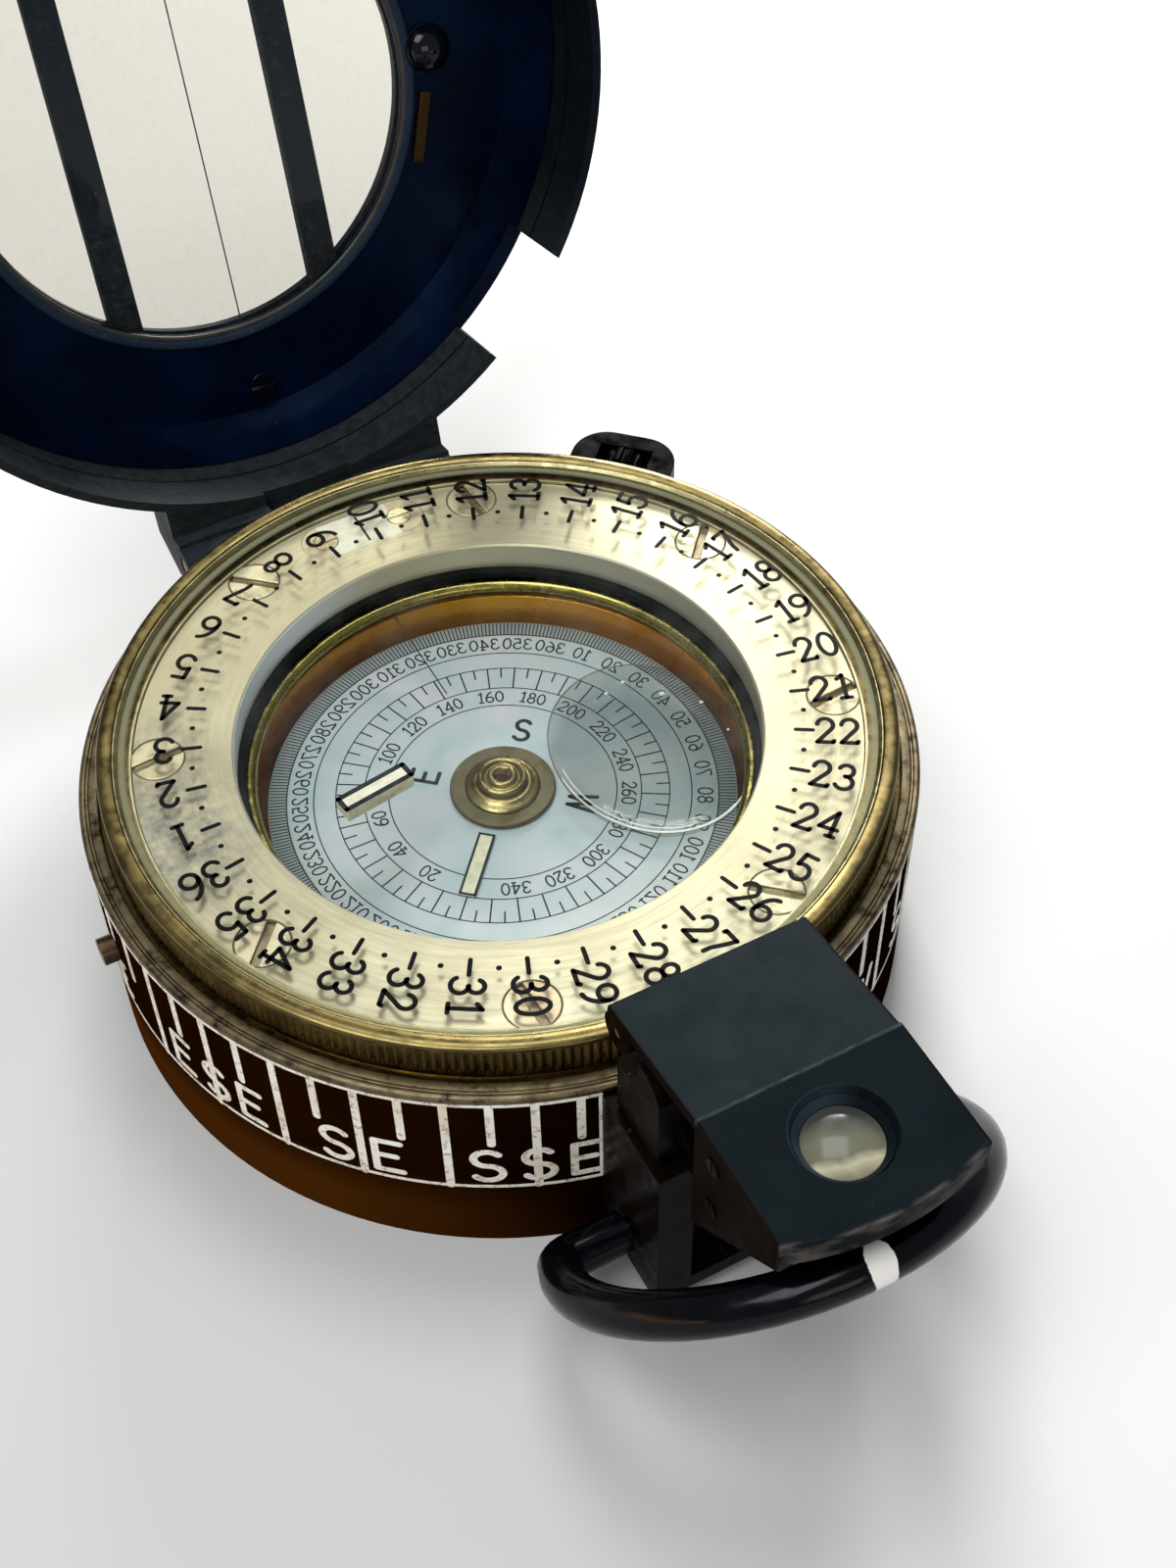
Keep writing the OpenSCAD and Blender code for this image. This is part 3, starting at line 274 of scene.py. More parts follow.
def distance(x, y):
    """Length of the level line with the parts x and y."""
    return sums("SQRT", sums("ADD", times(x, x), times(y, y)))


def blend_colours(factor, under, over):
    """Colour over laid on colour under by a factor. A colour is a socket or three numbers."""
    node = add(factor.id_data, "Mix", data_type="RGBA")
    feed(node, 0, factor)
    feed(node, 6, under)
    feed(node, 7, over)
    return node.outputs[2]


def paint(p, colour):
    """Colour of the surface, from a socket."""
    feed(p, "Base Color", colour)


def cloud_roughness(p, scale, low, high, **kind):
    """Roughness of the surface, from low to high in clouds."""
    feed(p, "Roughness", between(noise(p, scale, **kind), 0.3, 0.7, low, high))


def lay_over(p, factor, colour):
    """Lay one more colour over those that the shader has already, by a factor."""
    under = p.inputs["Base Color"].links[0].from_socket
    paint(p, blend_colours(factor, under, colour))


def emboss(p, height, strength, depth):
    """Bump on the shader from a height factor. depth is in millimetres."""
    node = add(p.id_data, "Bump", Strength=strength, Distance=depth * MM)
    feed(node, "Height", height)
    feed(p, "Normal", node.outputs["Normal"])


def in_millimetres(vector):
    """Distance from the compass's axis, height, x and y of a place, in millimetres, as sockets."""
    parts = add(vector.id_data, "SeparateXYZ")
    feed(parts, "Vector", vector)
    x, y, z = (times(parts.outputs[k], 1 / MM) for k in "XYZ")
    return distance(x, y), z, x, y


def where_on_it(p):
    """The same for the place that is being shaded, in the material of a node p."""
    return in_millimetres(add(p.id_data, "TexCoord").outputs["Object"])


def two_tones(p, scale, dark, light, spread=(0.3, 0.7), **kind):
    """Clouds between two colours, dark up to the first value of the noise and light from the second."""
    return ramp(noise(p, scale, **kind), [(spread[0], dark), (spread[1], light)])


def enamel(name, dark, light, worn, roughness, speck=0.7, coat=0.0, grain=0.006, wear_scale=0.6,
           specular=0.012, tint=(1, 1, 1)):
    """Baked enamel on brass: two near tones in clouds, worn specks where the noise is over speck, and a
    fine orange-peel whose depth is grain, in millimetres."""
    material, p = shader(name, roughness=roughness, coat=coat, coat_roughness=0.12, specular=specular)
    p.inputs["Specular Tint"].default_value = (*tint, 1)
    tone = two_tones(p, 0.12, dark, light, (0.35, 0.7), detail=6.0, warp=0.4)
    chips = between(noise(p, wear_scale, detail=9.0, rough=0.7, shift=(3, 1, 2)), speck, speck + 0.05)
    paint(p, blend_colours(chips, tone, worn))
    cloud_roughness(p, 0.6, roughness - 0.08, roughness + 0.14, detail=5.0, shift=(7, 0, 0))
    emboss(p, noise(p, 4.0, detail=3.0), 0.35, grain)
    return material


case_enamel = enamel("case_enamel", (0.0030, 0.0009, 0.00015), (0.0075, 0.0022, 0.0004),
                     (0.04, 0.02, 0.01), roughness=0.22, grain=0.003, specular=0.0)
p = case_enamel.node_tree.nodes["Principled BSDF"]
r, z, x, y = where_on_it(p)
# Painted reflected light: a warm brown glow laid over the enamel low down on one side.
painted_table_glow = times(between(x, -9.0, -26.0), between(z, 9.0, 4.0, 0.1, 1.0))
lay_over(p, painted_table_glow, (0.050, 0.016, 0.002))
refine("case_body", case_enamel, 0.25)

# Case scale
# Compass points and their lines, cut into the wall of the case and filled with white paint. Long lines
# stand every 11 and a quarter degrees with short ones between, and a panel's border frames them.
MERGE = 0.001
SCALE_TOP = 18.75
SCALE_FOOT = 7.85
LETTER_FOOT = 8.75
LETTER_HIGH = 3.9
SHORT_FOOT = 13.7
POINTS = "E ESE SE SSE S SSW SW WSW W WNW NW NNW N NNE NE ENE".split()
LETTER_TURNS = {1: (0.0,), 2: (-3.5, 3.5), 3: (-6.3, 0.2, 6.3)}
PANELS = ((-75.6, 73.0), (107.0, 255.6))


def bow(x, y, rx, ry, start, end, n=14):
    """Points of an ellipse's arc: (x + rx cos a, y + ry sin a) for a from start to end degrees."""
    a = np.radians(np.linspace(start, end, n))
    return np.stack([x + rx * np.cos(a), y + ry * np.sin(a)], -1)


def chain(*parts):
    """One line through several parts, each a point or an array of points."""
    return np.vstack([np.atleast_2d(np.asarray(part, float)) for part in parts])


STROKES = {
    "0": [bow(0.27, 0.5, 0.27, 0.5, 90, 450, 30)],
    "1": [chain((0.02, 0.84), (0.2, 1.0), (0.2, 0.0)), chain((0.04, 0.0), (0.36, 0.0))],
    "2": [chain(bow(0.25, 0.73, 0.25, 0.27, 175, -35, 18), (0.0, 0.0), (0.5, 0.0), (0.53, 0.07))],
    "3": [chain(bow(0.24, 0.76, 0.23, 0.24, 160, -88, 16)), bow(0.22, 0.27, 0.28, 0.27, 88, -155, 18)],
    "4": [chain((0.42, 0.0), (0.42, 1.0), (0.0, 0.3), (0.56, 0.3)), chain((0.3, 0.0), (0.54, 0.0))],
    "5": [chain((0.48, 1.0), (0.1, 1.0), (0.06, 0.56), bow(0.24, 0.31, 0.28, 0.31, 118, -150, 18))],
    "6": [chain(bow(0.5, 0.3, 0.5, 0.7, 100, 175, 10), bow(0.27, 0.27, 0.27, 0.27, 180, 540, 26))],
    "7": [chain((0.0, 0.93), (0.02, 1.0), (0.5, 1.0), (0.36, 0.62), (0.2, 0.25), (0.16, 0.0))],
    "8": [bow(0.26, 0.76, 0.21, 0.24, -90, 270, 24), bow(0.26, 0.26, 0.26, 0.26, 90, 450, 26)],
    "9": [chain(bow(0.04, 0.7, 0.5, 0.7, -80, -5, 10), bow(0.27, 0.73, 0.27, 0.27, 0, 360, 26))],
    "E": [chain((0.5, 1.0), (0.0, 1.0), (0.0, 0.0), (0.5, 0.0)), chain((0.0, 0.52), (0.4, 0.52))],
    "S": [chain(bow(0.27, 0.75, 0.26, 0.25, 35, 262, 16), bow(0.27, 0.25, 0.28, 0.25, 82, -148, 16))],
    "N": [chain((0.0, 0.0), (0.0, 1.0), (0.56, 0.0), (0.56, 1.0))],
    "W": [chain((0.0, 1.0), (0.17, 0.0), (0.36, 0.86), (0.55, 0.0), (0.72, 1.0))],
}


def corners_apart(lines):
    """The same lines, cut wherever one turns by over 40 degrees, so that each part keeps its width."""
    parts = []
    for line in lines:
        line = np.asarray(line, float)
        step = np.diff(line, axis=0)
        angle = np.arctan2(step[:, 1], step[:, 0])
        turn = np.abs((np.diff(angle) + np.pi) % (2 * np.pi) - np.pi)
        cuts = np.flatnonzero(turn > np.radians(40)) + 1
        for start, end in zip([0, *cuts], [*cuts, len(line) - 1]):
            parts.append(line[start:end + 1])
    return parts


def grid_faces(rows, columns, wrap_rows, wrap_columns):
    """Four-sided faces of a grid of points numbered row by row, closed round in either direction."""
    i = np.arange(rows if wrap_rows else rows - 1)[:, None]
    j = np.arange(columns if wrap_columns else columns - 1)[None, :]
    i2, j2 = (i + 1) % rows, (j + 1) % columns
    corners = (i * columns + j, i2 * columns + j, i2 * columns + j2, i * columns + j2)
    return np.stack(np.broadcast_arrays(*corners), -1).reshape(-1, 4)


def make_piece(name, points, faces, material, body, smooth=35.0):
    """Piece from points in millimetres and faces."""
    mesh = bpy.data.meshes.new(name)
    metres = np.asarray(points, float).reshape(-1, 3) * MM
    mesh.from_pydata(metres.tolist(), [], np.asarray(faces).tolist())
    clean_copy(mesh, mesh, MERGE)
    return seat_piece(name, mesh, smooth, material, body)


def pen_lines(lines, width, lift, place):
    """Closed raised strips along flat lines. A strip's half-width is constant and falls along a half
    circle past each end of its line, and place(x, y, height) carries it to the piece."""
    points, faces, count = [], [], 0
    s = np.sin(np.linspace(0, np.pi / 2, 5)[1:])
    for line in corners_apart(lines):
        closed = len(line) > 3 and np.allclose(line[0], line[-1])
        step = np.gradient(line, axis=0)
        if closed:
            step[0] = step[-1] = line[1] - line[-2]
        step /= np.linalg.norm(step, axis=1, keepdims=True)
        half = np.full(len(line), width / 2)
        if not closed:
            fall = width / 2 * np.sqrt(np.maximum(1 - s**2, 0.0004))
            before = line[0] - step[0] * s[::-1, None] * width / 2
            line = np.vstack([before, line, line[-1] + step[-1] * s[:, None] * width / 2])
            half = np.concatenate([fall[::-1], half, fall])
            step = np.vstack([np.repeat(step[:1], 4, 0), step, np.repeat(step[-1:], 4, 0)])
        else:
            line, step, half = line[:-1], step[:-1], half[:-1]
        side = np.stack([-step[:, 1], step[:, 0]], -1) * half[:, None]
        left, right = line + side, line - side
        n = len(line)
        foot, top = 0 * half, lift + 0 * half
        corners = ((left, foot), (left, top), (right, top), (right, foot))
        points.append(np.stack([place(*edge.T, height) for edge, height in corners], 1).reshape(-1, 3))
        faces.append(count + grid_faces(n, 4, closed, True))
        if not closed:
            faces.append(count + np.array([[0, 1, 2, 3], [4 * n - 1, 4 * n - 2, 4 * n - 3, 4 * n - 4]]))
        count += 4 * n
    return np.vstack(points), np.vstack(faces)


def draw(name, lines, width, lift, place, material, body):
    """Piece of strips along lines, as pen_lines makes them."""
    points, faces = pen_lines(lines, width, lift, place)
    return make_piece(name, points, faces, material, body, smooth=50)


def on_wall(radius):
    """Place on the case's wall: (along, up) goes to angle along / radius, height up."""
    def place(x, y, height):
        r = radius - 0.02 + height
        return np.stack([r * np.cos(x / radius), r * np.sin(x / radius), y + 0 * x], -1)
    return place


def arc_line(radius, start, end, y, per=2.0):
    """Level line round the wall between two angles in degrees."""
    n = max(2, int(abs(end - start) / per) + 1)
    return np.stack([np.radians(np.linspace(start, end, n)) * radius, np.full(n, y)], -1)


def clear_wall(angle, front, back):
    """Whether a place on the wall is that many degrees off the bracket in front and the hinge behind."""
    return min(abs(angle + 90), abs(angle - 270)) > front and abs(angle - 90) > back


def along_wall(angle):
    return math.radians(angle) * CASE_R


scale_marks, scale_border, scale_letters = [], [], []
for k in range(64):
    angle = -90 + 5.625 * k
    if clear_wall(angle, 15, 17):
        foot = SCALE_FOOT if k % 2 == 0 else SHORT_FOOT
        scale_marks.append([(along_wall(angle), SCALE_TOP - 0.2), (along_wall(angle), foot)])
for k, name in enumerate(POINTS):
    centre = -180 + 22.5 * k
    if clear_wall(centre, 12, 12):
        for letter, off in zip(name, LETTER_TURNS[len(name)]):
            wide = max(stroke[:, 0].max() for stroke in STROKES[letter])
            at = (along_wall(centre + off), LETTER_FOOT)
            scale_letters += [(stroke - (wide / 2, 0)) * LETTER_HIGH + at for stroke in STROKES[letter]]
for panel in PANELS:
    scale_border += [arc_line(CASE_R, *panel, y) for y in (SCALE_TOP, SCALE_FOOT)]
    scale_border += [[(along_wall(edge), SCALE_TOP), (along_wall(edge), SCALE_FOOT)] for edge in panel]

material, p = shader("scale_paint", roughness=0.65)
worn = between(noise(p, 1.6, detail=8.0, rough=0.7), 0.52, 0.66)
white = two_tones(p, 0.25, (0.86, 0.86, 0.83), (0.66, 0.60, 0.46))
paint(p, blend_colours(worn, white, (0.16, 0.12, 0.08)))
emboss(p, noise(p, 3.0, detail=4.0), 0.5, 0.03)
for name, lines, width in (("scale_marks", scale_marks, 0.64), ("scale_border", scale_border, 0.32),
                           ("scale_letters", scale_letters, 0.6)):
    draw(name, lines, width, 0.05, on_wall(CASE_R), material, "case")

# Base cover and its screws
# A flat brass cover closes the case from below, enamelled like it and held by four slotted screws of
# darkened brass.
def brass(name, deep, bright, tarnish=0.5, roughness=0.3, scratch=0.006, dirt=(0.05, 0.03, 0.012)):
    """Brass in two tones, with dirt where the noise is over tarnish. scratch is a depth in
    millimetres."""
    material, p = shader(name, metallic=1.0, roughness=roughness)
    cloud = noise(p, 0.8, detail=8.0, rough=0.65, shift=(2, 5, 1))
    tone = two_tones(p, 0.35, deep, bright, detail=6.0)
    paint(p, blend_colours(between(cloud, tarnish, tarnish + 0.18), tone, dirt))
    dull = noise(p, 1.2, detail=6.0)
    feed(p, "Roughness", between(dull, 0.3, 0.75, roughness - 0.08, roughness + 0.22))
    emboss(p, noise(p, 2.0, detail=5.0), 0.5, scratch)
    return material


base_enamel = enamel("base_enamel", (0.008, 0.005, 0.004), (0.02, 0.011, 0.007), (0.12, 0.08, 0.04),
                     roughness=0.35, speck=0.62, coat=0.1, wear_scale=0.35, specular=0.3)
screw_brass = brass("dark_screw_brass", (0.20, 0.13, 0.05), (0.42, 0.30, 0.12),
                    tarnish=0.48, roughness=0.4)
refine("base_cover", base_enamel, 0.2)
refine("base_screws", screw_brass, 0.05)

# Bowl
# A lacquered brass bowl hangs in the case and holds the card in its liquid. A corrugated disc below
# takes up swelling, a plug closes the filler, and a steel point on a post carries the card.
material, p = shader("amber_lacquer", metallic=0.6, roughness=0.24, coat=0.2, coat_roughness=0.08)
streak = noise(p, 0.06, stretch=(1, 1, 0.4), detail=2.0, warp=0.3)
paint(p, ramp(streak, [
    (0.3, (0.46, 0.14, 0.0005)), (0.5, (0.68, 0.25, 0.001)), (0.7, (0.88, 0.42, 0.01))]))
cloud_roughness(p, 0.3, 0.2, 0.32, detail=3.0)
emboss(p, noise(p, 0.5, detail=2.0), 0.2, 0.01)
refine("liquid_bowl", material, 0.08)
steel = brass("hard_steel", (0.32, 0.33, 0.35), (0.52, 0.53, 0.55),
              tarnish=0.7, roughness=0.25, dirt=(0.1, 0.09, 0.08))
sprung = brass("spring_brass", (0.45, 0.32, 0.13), (0.62, 0.47, 0.22), tarnish=0.7)
for name, finish in (("expansion_diaphragm", sprung), ("filler_plug", screw_brass),
                     ("pivot_post", screw_brass), ("pivot_point", steel)):
    nodes[name].data.materials[0] = finish

# Card and float
# A thin pearl-grey disc printed with two scales rides on a hollow float that covers its magnets. The
# outer scale is printed backwards to be read through the prism, and the cap turns on a jewel.
TURNS = 288
CARD_FOOT = 13.6
CARD_TOP = 13.9
CARD_R = 19.1
CARD_HOLE_R = 2.8
PRINT_LIFT = 0.012
CARD_ZERO = -131.0
RINGS = (17.6, 15.4, 13.6, 11.3, 9.3)
HALF_TICK_R = 12.55
OUTER_WORDS_R = 16.5
INNER_WORDS_R = 10.3
LETTERS_R = 6.6


def fillet(points, radius, steps=5):
    """Closed outline with each corner rounded. The two places at distance d from the corner, where d is
    the radius but at most 0.45 of the shorter side, are joined by a curve that bends to the corner."""
    p = np.asarray(points, float)
    radius = np.broadcast_to(radius, len(p))
    before, after = np.roll(p, 1, 0) - p, np.roll(p, -1, 0) - p
    len_b, len_a = np.linalg.norm(before, axis=1), np.linalg.norm(after, axis=1)
    d = np.minimum(radius, 0.45 * np.minimum(len_b, len_a))
    start = p + before * (d / len_b)[:, None]
    end = p + after * (d / len_a)[:, None]
    t = np.linspace(0, 1, steps)[None, :, None]
    curve = (1 - t) ** 2 * start[:, None] + 2 * t * (1 - t) * p[:, None] + t**2 * end[:, None]
    return curve.reshape(-1, 2)


def lathe(name, profile, material, body, turns=TURNS, smooth=35.0, ripple=None):
    """Turned piece: point (r, z) of the closed profile goes to (r cos a, r sin a, z) for each angle a.
    ripple(r, z, a) gives a change of radius, such as a knurl's."""
    p = np.asarray(profile, float)
    a = np.arange(turns) * 2 * np.pi / turns
    r, z, angle = p[:, :1], p[:, 1:], a[None, :]
    radius = r + (ripple(r, z, angle) if ripple else 0 * angle)
    points = np.stack([radius * np.cos(angle), radius * np.sin(angle), z + 0 * radius], -1)
    return make_piece(name, points, grid_faces(len(p), turns, True, True), material, body, smooth)


material, p = shader("card_pearl", roughness=0.38, coat=0.35, coat_roughness=0.15, specular=0.6)
r, z, x, y = where_on_it(p)
pearl = ramp(noise(p, 0.1, detail=4.0, warp=0.8), [
    (0.3, (0.38, 0.50, 0.55)), (0.5, (0.50, 0.57, 0.61)), (0.7, (0.62, 0.61, 0.68))])
rim = between(r, RINGS[0] - 0.15, RINGS[0])
paint(p, blend_colours(rim, pearl, (0.31, 0.37, 0.39)))
cloud_roughness(p, 0.6, 0.3, 0.48, detail=3.0)
emboss(p, noise(p, 2.2, detail=2.0), 0.15, 0.01)
card_profile = [(CARD_HOLE_R, CARD_FOOT), (CARD_R, CARD_FOOT), (CARD_R, CARD_TOP),
                (CARD_HOLE_R, CARD_TOP)]
card = lathe("card_plate", fillet(card_profile, 0.05, 3), material, "card")
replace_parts(card, "card_disc")


def on_flat(z):
    """Place on a level surface: (x, y) stays, at height z plus the lift."""
    def place(x, y, height):
        return np.stack([x, y, z - 0.004 + height + 0 * x], -1)
    return place


def spoke(angle, inner, outer):
    """Radial line at an angle in degrees between two radii."""
    a = math.radians(angle)
    return [(inner * math.cos(a), inner * math.sin(a)), (outer * math.cos(a), outer * math.sin(a))]


def polar(angle, radius):
    return radius * math.cos(math.radians(angle)), radius * math.sin(math.radians(angle))


def words(text, high, at, turn=0.0, gap=0.2, mirror=False):
    """Lines of a word, centred on a point, high millimetres tall and turned by an angle in degrees.
    mirror writes it as it looks in a prism."""
    lines, x = [], 0.0
    for letter in text:
        strokes = STROKES[letter]
        wide = max(s[:, 0].max() for s in strokes)
        lines += [s + (x, -0.5) for s in strokes]
        x += wide + gap
    sign = -1.0 if mirror else 1.0
    c, s = math.cos(math.radians(turn)), math.sin(math.radians(turn))
    out = []
    for line in lines:
        u = sign * (line[:, 0] - (x - gap) / 2) * high
        v = line[:, 1] * high
        out.append(np.stack([at[0] + c * u - s * v, at[1] + s * u + c * v], -1))
    return out


card_fine = [bow(0, 0, radius, radius, 0, 360, 181) for radius in RINGS]
card_fine += [spoke(k, RINGS[0], CARD_R - 0.12) for k in range(360)]
card_bold = [spoke(CARD_ZERO + 10 * k, RINGS[3], RINGS[2]) for k in range(36)]
card_bold += [spoke(CARD_ZERO + 5 + 10 * k, HALF_TICK_R, RINGS[2]) for k in range(36)]
card_words = []
for k in range(36):
    angle = CARD_ZERO - 10 * k
    text = str(10 * ((k + 18) % 36) or 360)
    card_words += words(text, 1.2, polar(angle, OUTER_WORDS_R), angle - 90, gap=0.22, mirror=True)
for k in range(18):
    angle = CARD_ZERO - 20 * k
    card_words += words(str(20 * k), 1.12, polar(angle, INNER_WORDS_R), angle - 90)
card_letters = []
for k, letter in ((1, "E"), (2, "S"), (3, "W")):
    angle = CARD_ZERO - 90 * k
    card_letters += words(letter, 2.2, polar(angle, LETTERS_R), angle - 90)
card_ink, p = shader("card_ink", roughness=0.6, specular=0.1)
paint(p, two_tones(p, 1.4, (0.010, 0.013, 0.016), (0.032, 0.040, 0.048), (0.3, 0.75), detail=3.0))
for name, lines, width in (("card_fine_lines", card_fine, 0.1), ("card_ticks", card_bold, 0.13),
                           ("card_numbers", card_words, 0.15), ("card_letters", card_letters, 0.36)):
    draw(name, lines, width, PRINT_LIFT, on_flat(CARD_TOP), card_ink, "card")

float_bronze = brass("float_bronze", (0.13, 0.11, 0.065), (0.19, 0.165, 0.10),
                     tarnish=0.68, roughness=0.5)
refine("card_float", float_bronze, 0.1)
cap_brass = brass("cap_brass", (0.22, 0.165, 0.07), (0.44, 0.36, 0.17),
                  tarnish=0.8, roughness=0.26, scratch=0.0006)
cap_profile = [(0.02, 14.4), (3.1, 14.4), (3.08, 14.55), (2.9, 14.68), (2.55, 14.8), (2.3, 14.95),
               (2.1, 14.95), (2.05, 15.3), (1.98, 15.62), (1.8, 15.72), (1.6, 15.66), (1.48, 15.4),
               (1.3, 15.36), (1.2, 15.62), (1.05, 15.78), (0.8, 15.78), (0.62, 15.6), (0.5, 15.34),
               (0.02, 15.3)]
cap = lathe("card_cap_turned", fillet(cap_profile, 0.08, 4), cap_brass, "card", smooth=50)
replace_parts(cap, "card_cap")
jewel, p = shader("jewel", roughness=0.05, specular=0.8)
p.inputs["Transmission Weight"].default_value = 0.5
paint(p, two_tones(p, 1.0, (0.05, 0.022, 0.012), (0.10, 0.045, 0.02)))
nodes["card_jewel"].data.materials[0] = jewel
nodes["card_magnets"].data.materials[0] = steel

luminous_cream, p = shader("luminous_cream", roughness=0.7)
paint(p, ramp(noise(p, 0.9, detail=7.0, rough=0.65), [
    (0.25, (0.50, 0.47, 0.30)), (0.5, (0.72, 0.70, 0.52)), (0.8, (0.82, 0.81, 0.66))]))
emboss(p, noise(p, 5.0, detail=5.0), 0.5, 0.03)
refine("north_bar", luminous_cream, 0.05)


def bar_outline(name, angle, inner, outer, wide, z, body, width):
    """Black line round the top of a bar that points outward at an angle."""
    c, s = math.cos(math.radians(angle)), math.sin(math.radians(angle))
    near, far, h = inner + 0.08, outer - 0.08, (wide - width) / 2
    flat = np.array([(near, -h), (far, -h), (far, h), (near, h), (near, -h)])
    turned = np.stack([flat[:, 0] * c - flat[:, 1] * s, flat[:, 0] * s + flat[:, 1] * c], -1)
    sides = [turned[i:i + 2] for i in range(4)]
    return draw(name, sides, width, 0.02, on_flat(z), card_ink, body)


low, high = (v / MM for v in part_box("north_bar"))
bar_outline("north_bar_outline", CARD_ZERO, 5.0, 11.3, 1.4, high.z, "card", 0.2)

# Seal and inner glass
# A black gasket and a spun brass ring hold down the glass that closes the bowl. A hairline cut across
# the middle of the glass marks the direction of sight.
material, p = shader("black_rubber", roughness=0.6, specular=0.08)
paint(p, two_tones(p, 1.2, (0.0015, 0.0020, 0.0022), (0.005, 0.0065, 0.007), detail=5.0))
emboss(p, noise(p, 3.0, detail=4.0), 0.4, 0.02)
gasket_profile = fillet([(20.25, 18.1), (21.98, 18.1), (21.98, 18.98), (20.25, 18.98)], 0.3)
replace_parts(lathe("gasket_ring", gasket_profile, material, "case"), "bowl_gasket")
spun_brass = brass("spun_brass", (0.26, 0.22, 0.055), (0.50, 0.43, 0.13),
                   tarnish=0.82, roughness=0.18, scratch=0.0004)
low, high = (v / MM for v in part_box("glass_ring"))
ring_profile = [(high.x, low.z), (high.x, high.z), (20.9, high.z), (20.6, high.z - 0.3),
                (20.25, high.z - 0.1), (19.9, high.z - 0.12), (19.62, high.z - 0.45),
                (19.5, low.z + 0.1), (19.6, low.z)]
glass_ring = lathe("glass_ring_spun", fillet(ring_profile, 0.12), spun_brass, "case")
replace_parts(glass_ring, "glass_ring")

MIRROR_TONE = (0.28, 0.28, 0.28)
HAIRLINE = [(-0.2, 20.6), (-0.2, 9.8)]


def clear_glass(name, tint, gloss=0.02, straight=0.04, edge=None, haze=(0.0, 0.014),
                dusty=(0.75, 0.76, 0.74), fine=(0.25, 0.45, 0.75)):
    """Clear glass that light and shadows pass, dusty in faint clouds. It mirrors a share straight + (1 -
    straight) (1 - cos a) to the fifth, from a surface seen a degrees off square, either way round.
    fine is (scale, low, high) of the dust's noise, and edge is (radius, colour, share) of a turned glass
    whose rim shows a deeper colour."""
    material = bpy.data.materials.new(name)
    material.use_nodes = True
    tree = material.node_tree
    tree.nodes.remove(tree.nodes["Principled BSDF"])
    out = tree.nodes["Material Output"]

    def cover(share, under, kind, colour, **settings):
        """Surface of another kind laid over the first by a share."""
        over = add(tree, kind, **settings)
        feed(over, "Color", colour)
        mix = add(tree, "MixShader")
        feed(mix, 0, share)
        feed(mix, 1, under)
        feed(mix, 2, over.outputs[0])
        return mix.outputs[0]

    clear = add(tree, "BsdfTransparent")
    feed(clear, "Color", tint)
    lean = add(tree, "LayerWeight", Blend=0.5)
    share = times(sums("POWER", lean.outputs["Facing"], 5.0), 1 - straight)
    share = sums("ADD", share, straight)
    result = cover(share, clear.outputs[0], "BsdfGlossy", MIRROR_TONE, Roughness=gloss)
    cloudy = between(noise(out, fine[0], detail=8.0, rough=0.65), fine[1], fine[2], *haze)
    result = cover(cloudy, result, "BsdfDiffuse", dusty)
    if edge:
        r, z, x, y = where_on_it(out)
        rim = between(r, edge[0], edge[0] + 0.35, 0.0, edge[2])
        result = cover(rim, result, "BsdfDiffuse", edge[1])
    feed(out, "Surface", result)
    return material


def disc(name, radius, low, high, material, body, chamfer=0.1, turns=192):
    """Round plate: a turned profile that reaches the axis and is closed there by its merged pole."""
    p = np.array([(0.0, low), (radius - chamfer, low), (radius, low + chamfer), (radius, high - chamfer),
                  (radius - chamfer, high), (0.0, high)])
    a = np.arange(turns) * 2 * np.pi / turns
    points = np.stack([p[:, :1] * np.cos(a), p[:, :1] * np.sin(a), p[:, 1:] + 0 * a], -1)
    return make_piece(name, points, grid_faces(len(p), turns, False, True), material, body, 30)


inner_clear = clear_glass("inner_glass_clear", (0.985, 0.992, 0.985))
low, high = (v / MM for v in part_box("inner_glass"))
inner_disc = disc("inner_glass_disc", high.x, low.z, high.z, inner_clear, "case")
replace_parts(inner_disc, "inner_glass")
draw("sight_hairline", [HAIRLINE], 0.1, -0.012, on_flat(low.z), card_ink, "case")

# Bubble
# A flat air bubble stands in the liquid under the inner glass. Only its skin shows, with painted
# highlights round its lower edge, a painted dark edge round most of the rim, and the window's light
# painted in a few bright spots.
BUBBLE_AT = (11.8, -3.4)
BUBBLE_HALF = (8.0, 9.5)
BUBBLE_TOP = low.z - 0.02
BUBBLE_DEEP = 1.6
# Colours of the painted dark edge and the painted highlights on the bubble.
BUBBLE_TONES = {"painted_dark_edge": ((0.13, 0.12, 0.07), 0.3), "bright": ((0.85, 0.87, 0.86), 0.2)}
PAINTED_EDGE_LINES = ((0.0, 0.09, 60, 350, "painted_dark_edge"), (-0.12, 0.12, 178, 312, "bright"),
              (-0.14, 0.2, 212, 292, "bright"), (-0.55, 0.09, 172, 262, "bright"))
PAINTED_LIGHT_SPOTS = ((11.46, 3.48, 0.3), (13.29, 3.94, 0.3), (15.52, 1.21, 0.44), (17.9, -1.2, 0.3),
               (18.3, -4.9, 0.2))


def bubble(name, material):
    """Flattened egg, nearly flat on top: widths go by a power of sin b and heights by one of cos b."""
    b = np.linspace(0, np.pi, 49)[:, None]
    a = np.arange(96)[None, :] * 2 * np.pi / 96
    x = BUBBLE_AT[0] + BUBBLE_HALF[0] * np.sin(b) ** 0.8 * np.cos(a)
    y = BUBBLE_AT[1] + BUBBLE_HALF[1] * np.sin(b) ** 0.8 * np.sin(a)
    level = np.abs(np.cos(b))
    lift = np.where(b < np.pi / 2, 0.06 * level ** 0.8, -BUBBLE_DEEP * level ** 0.7)
    points = np.stack([x, y, BUBBLE_TOP - 0.12 + lift + 0 * a], -1)
    return make_piece(name, points, grid_faces(49, 96, False, True), material, "case", 80)


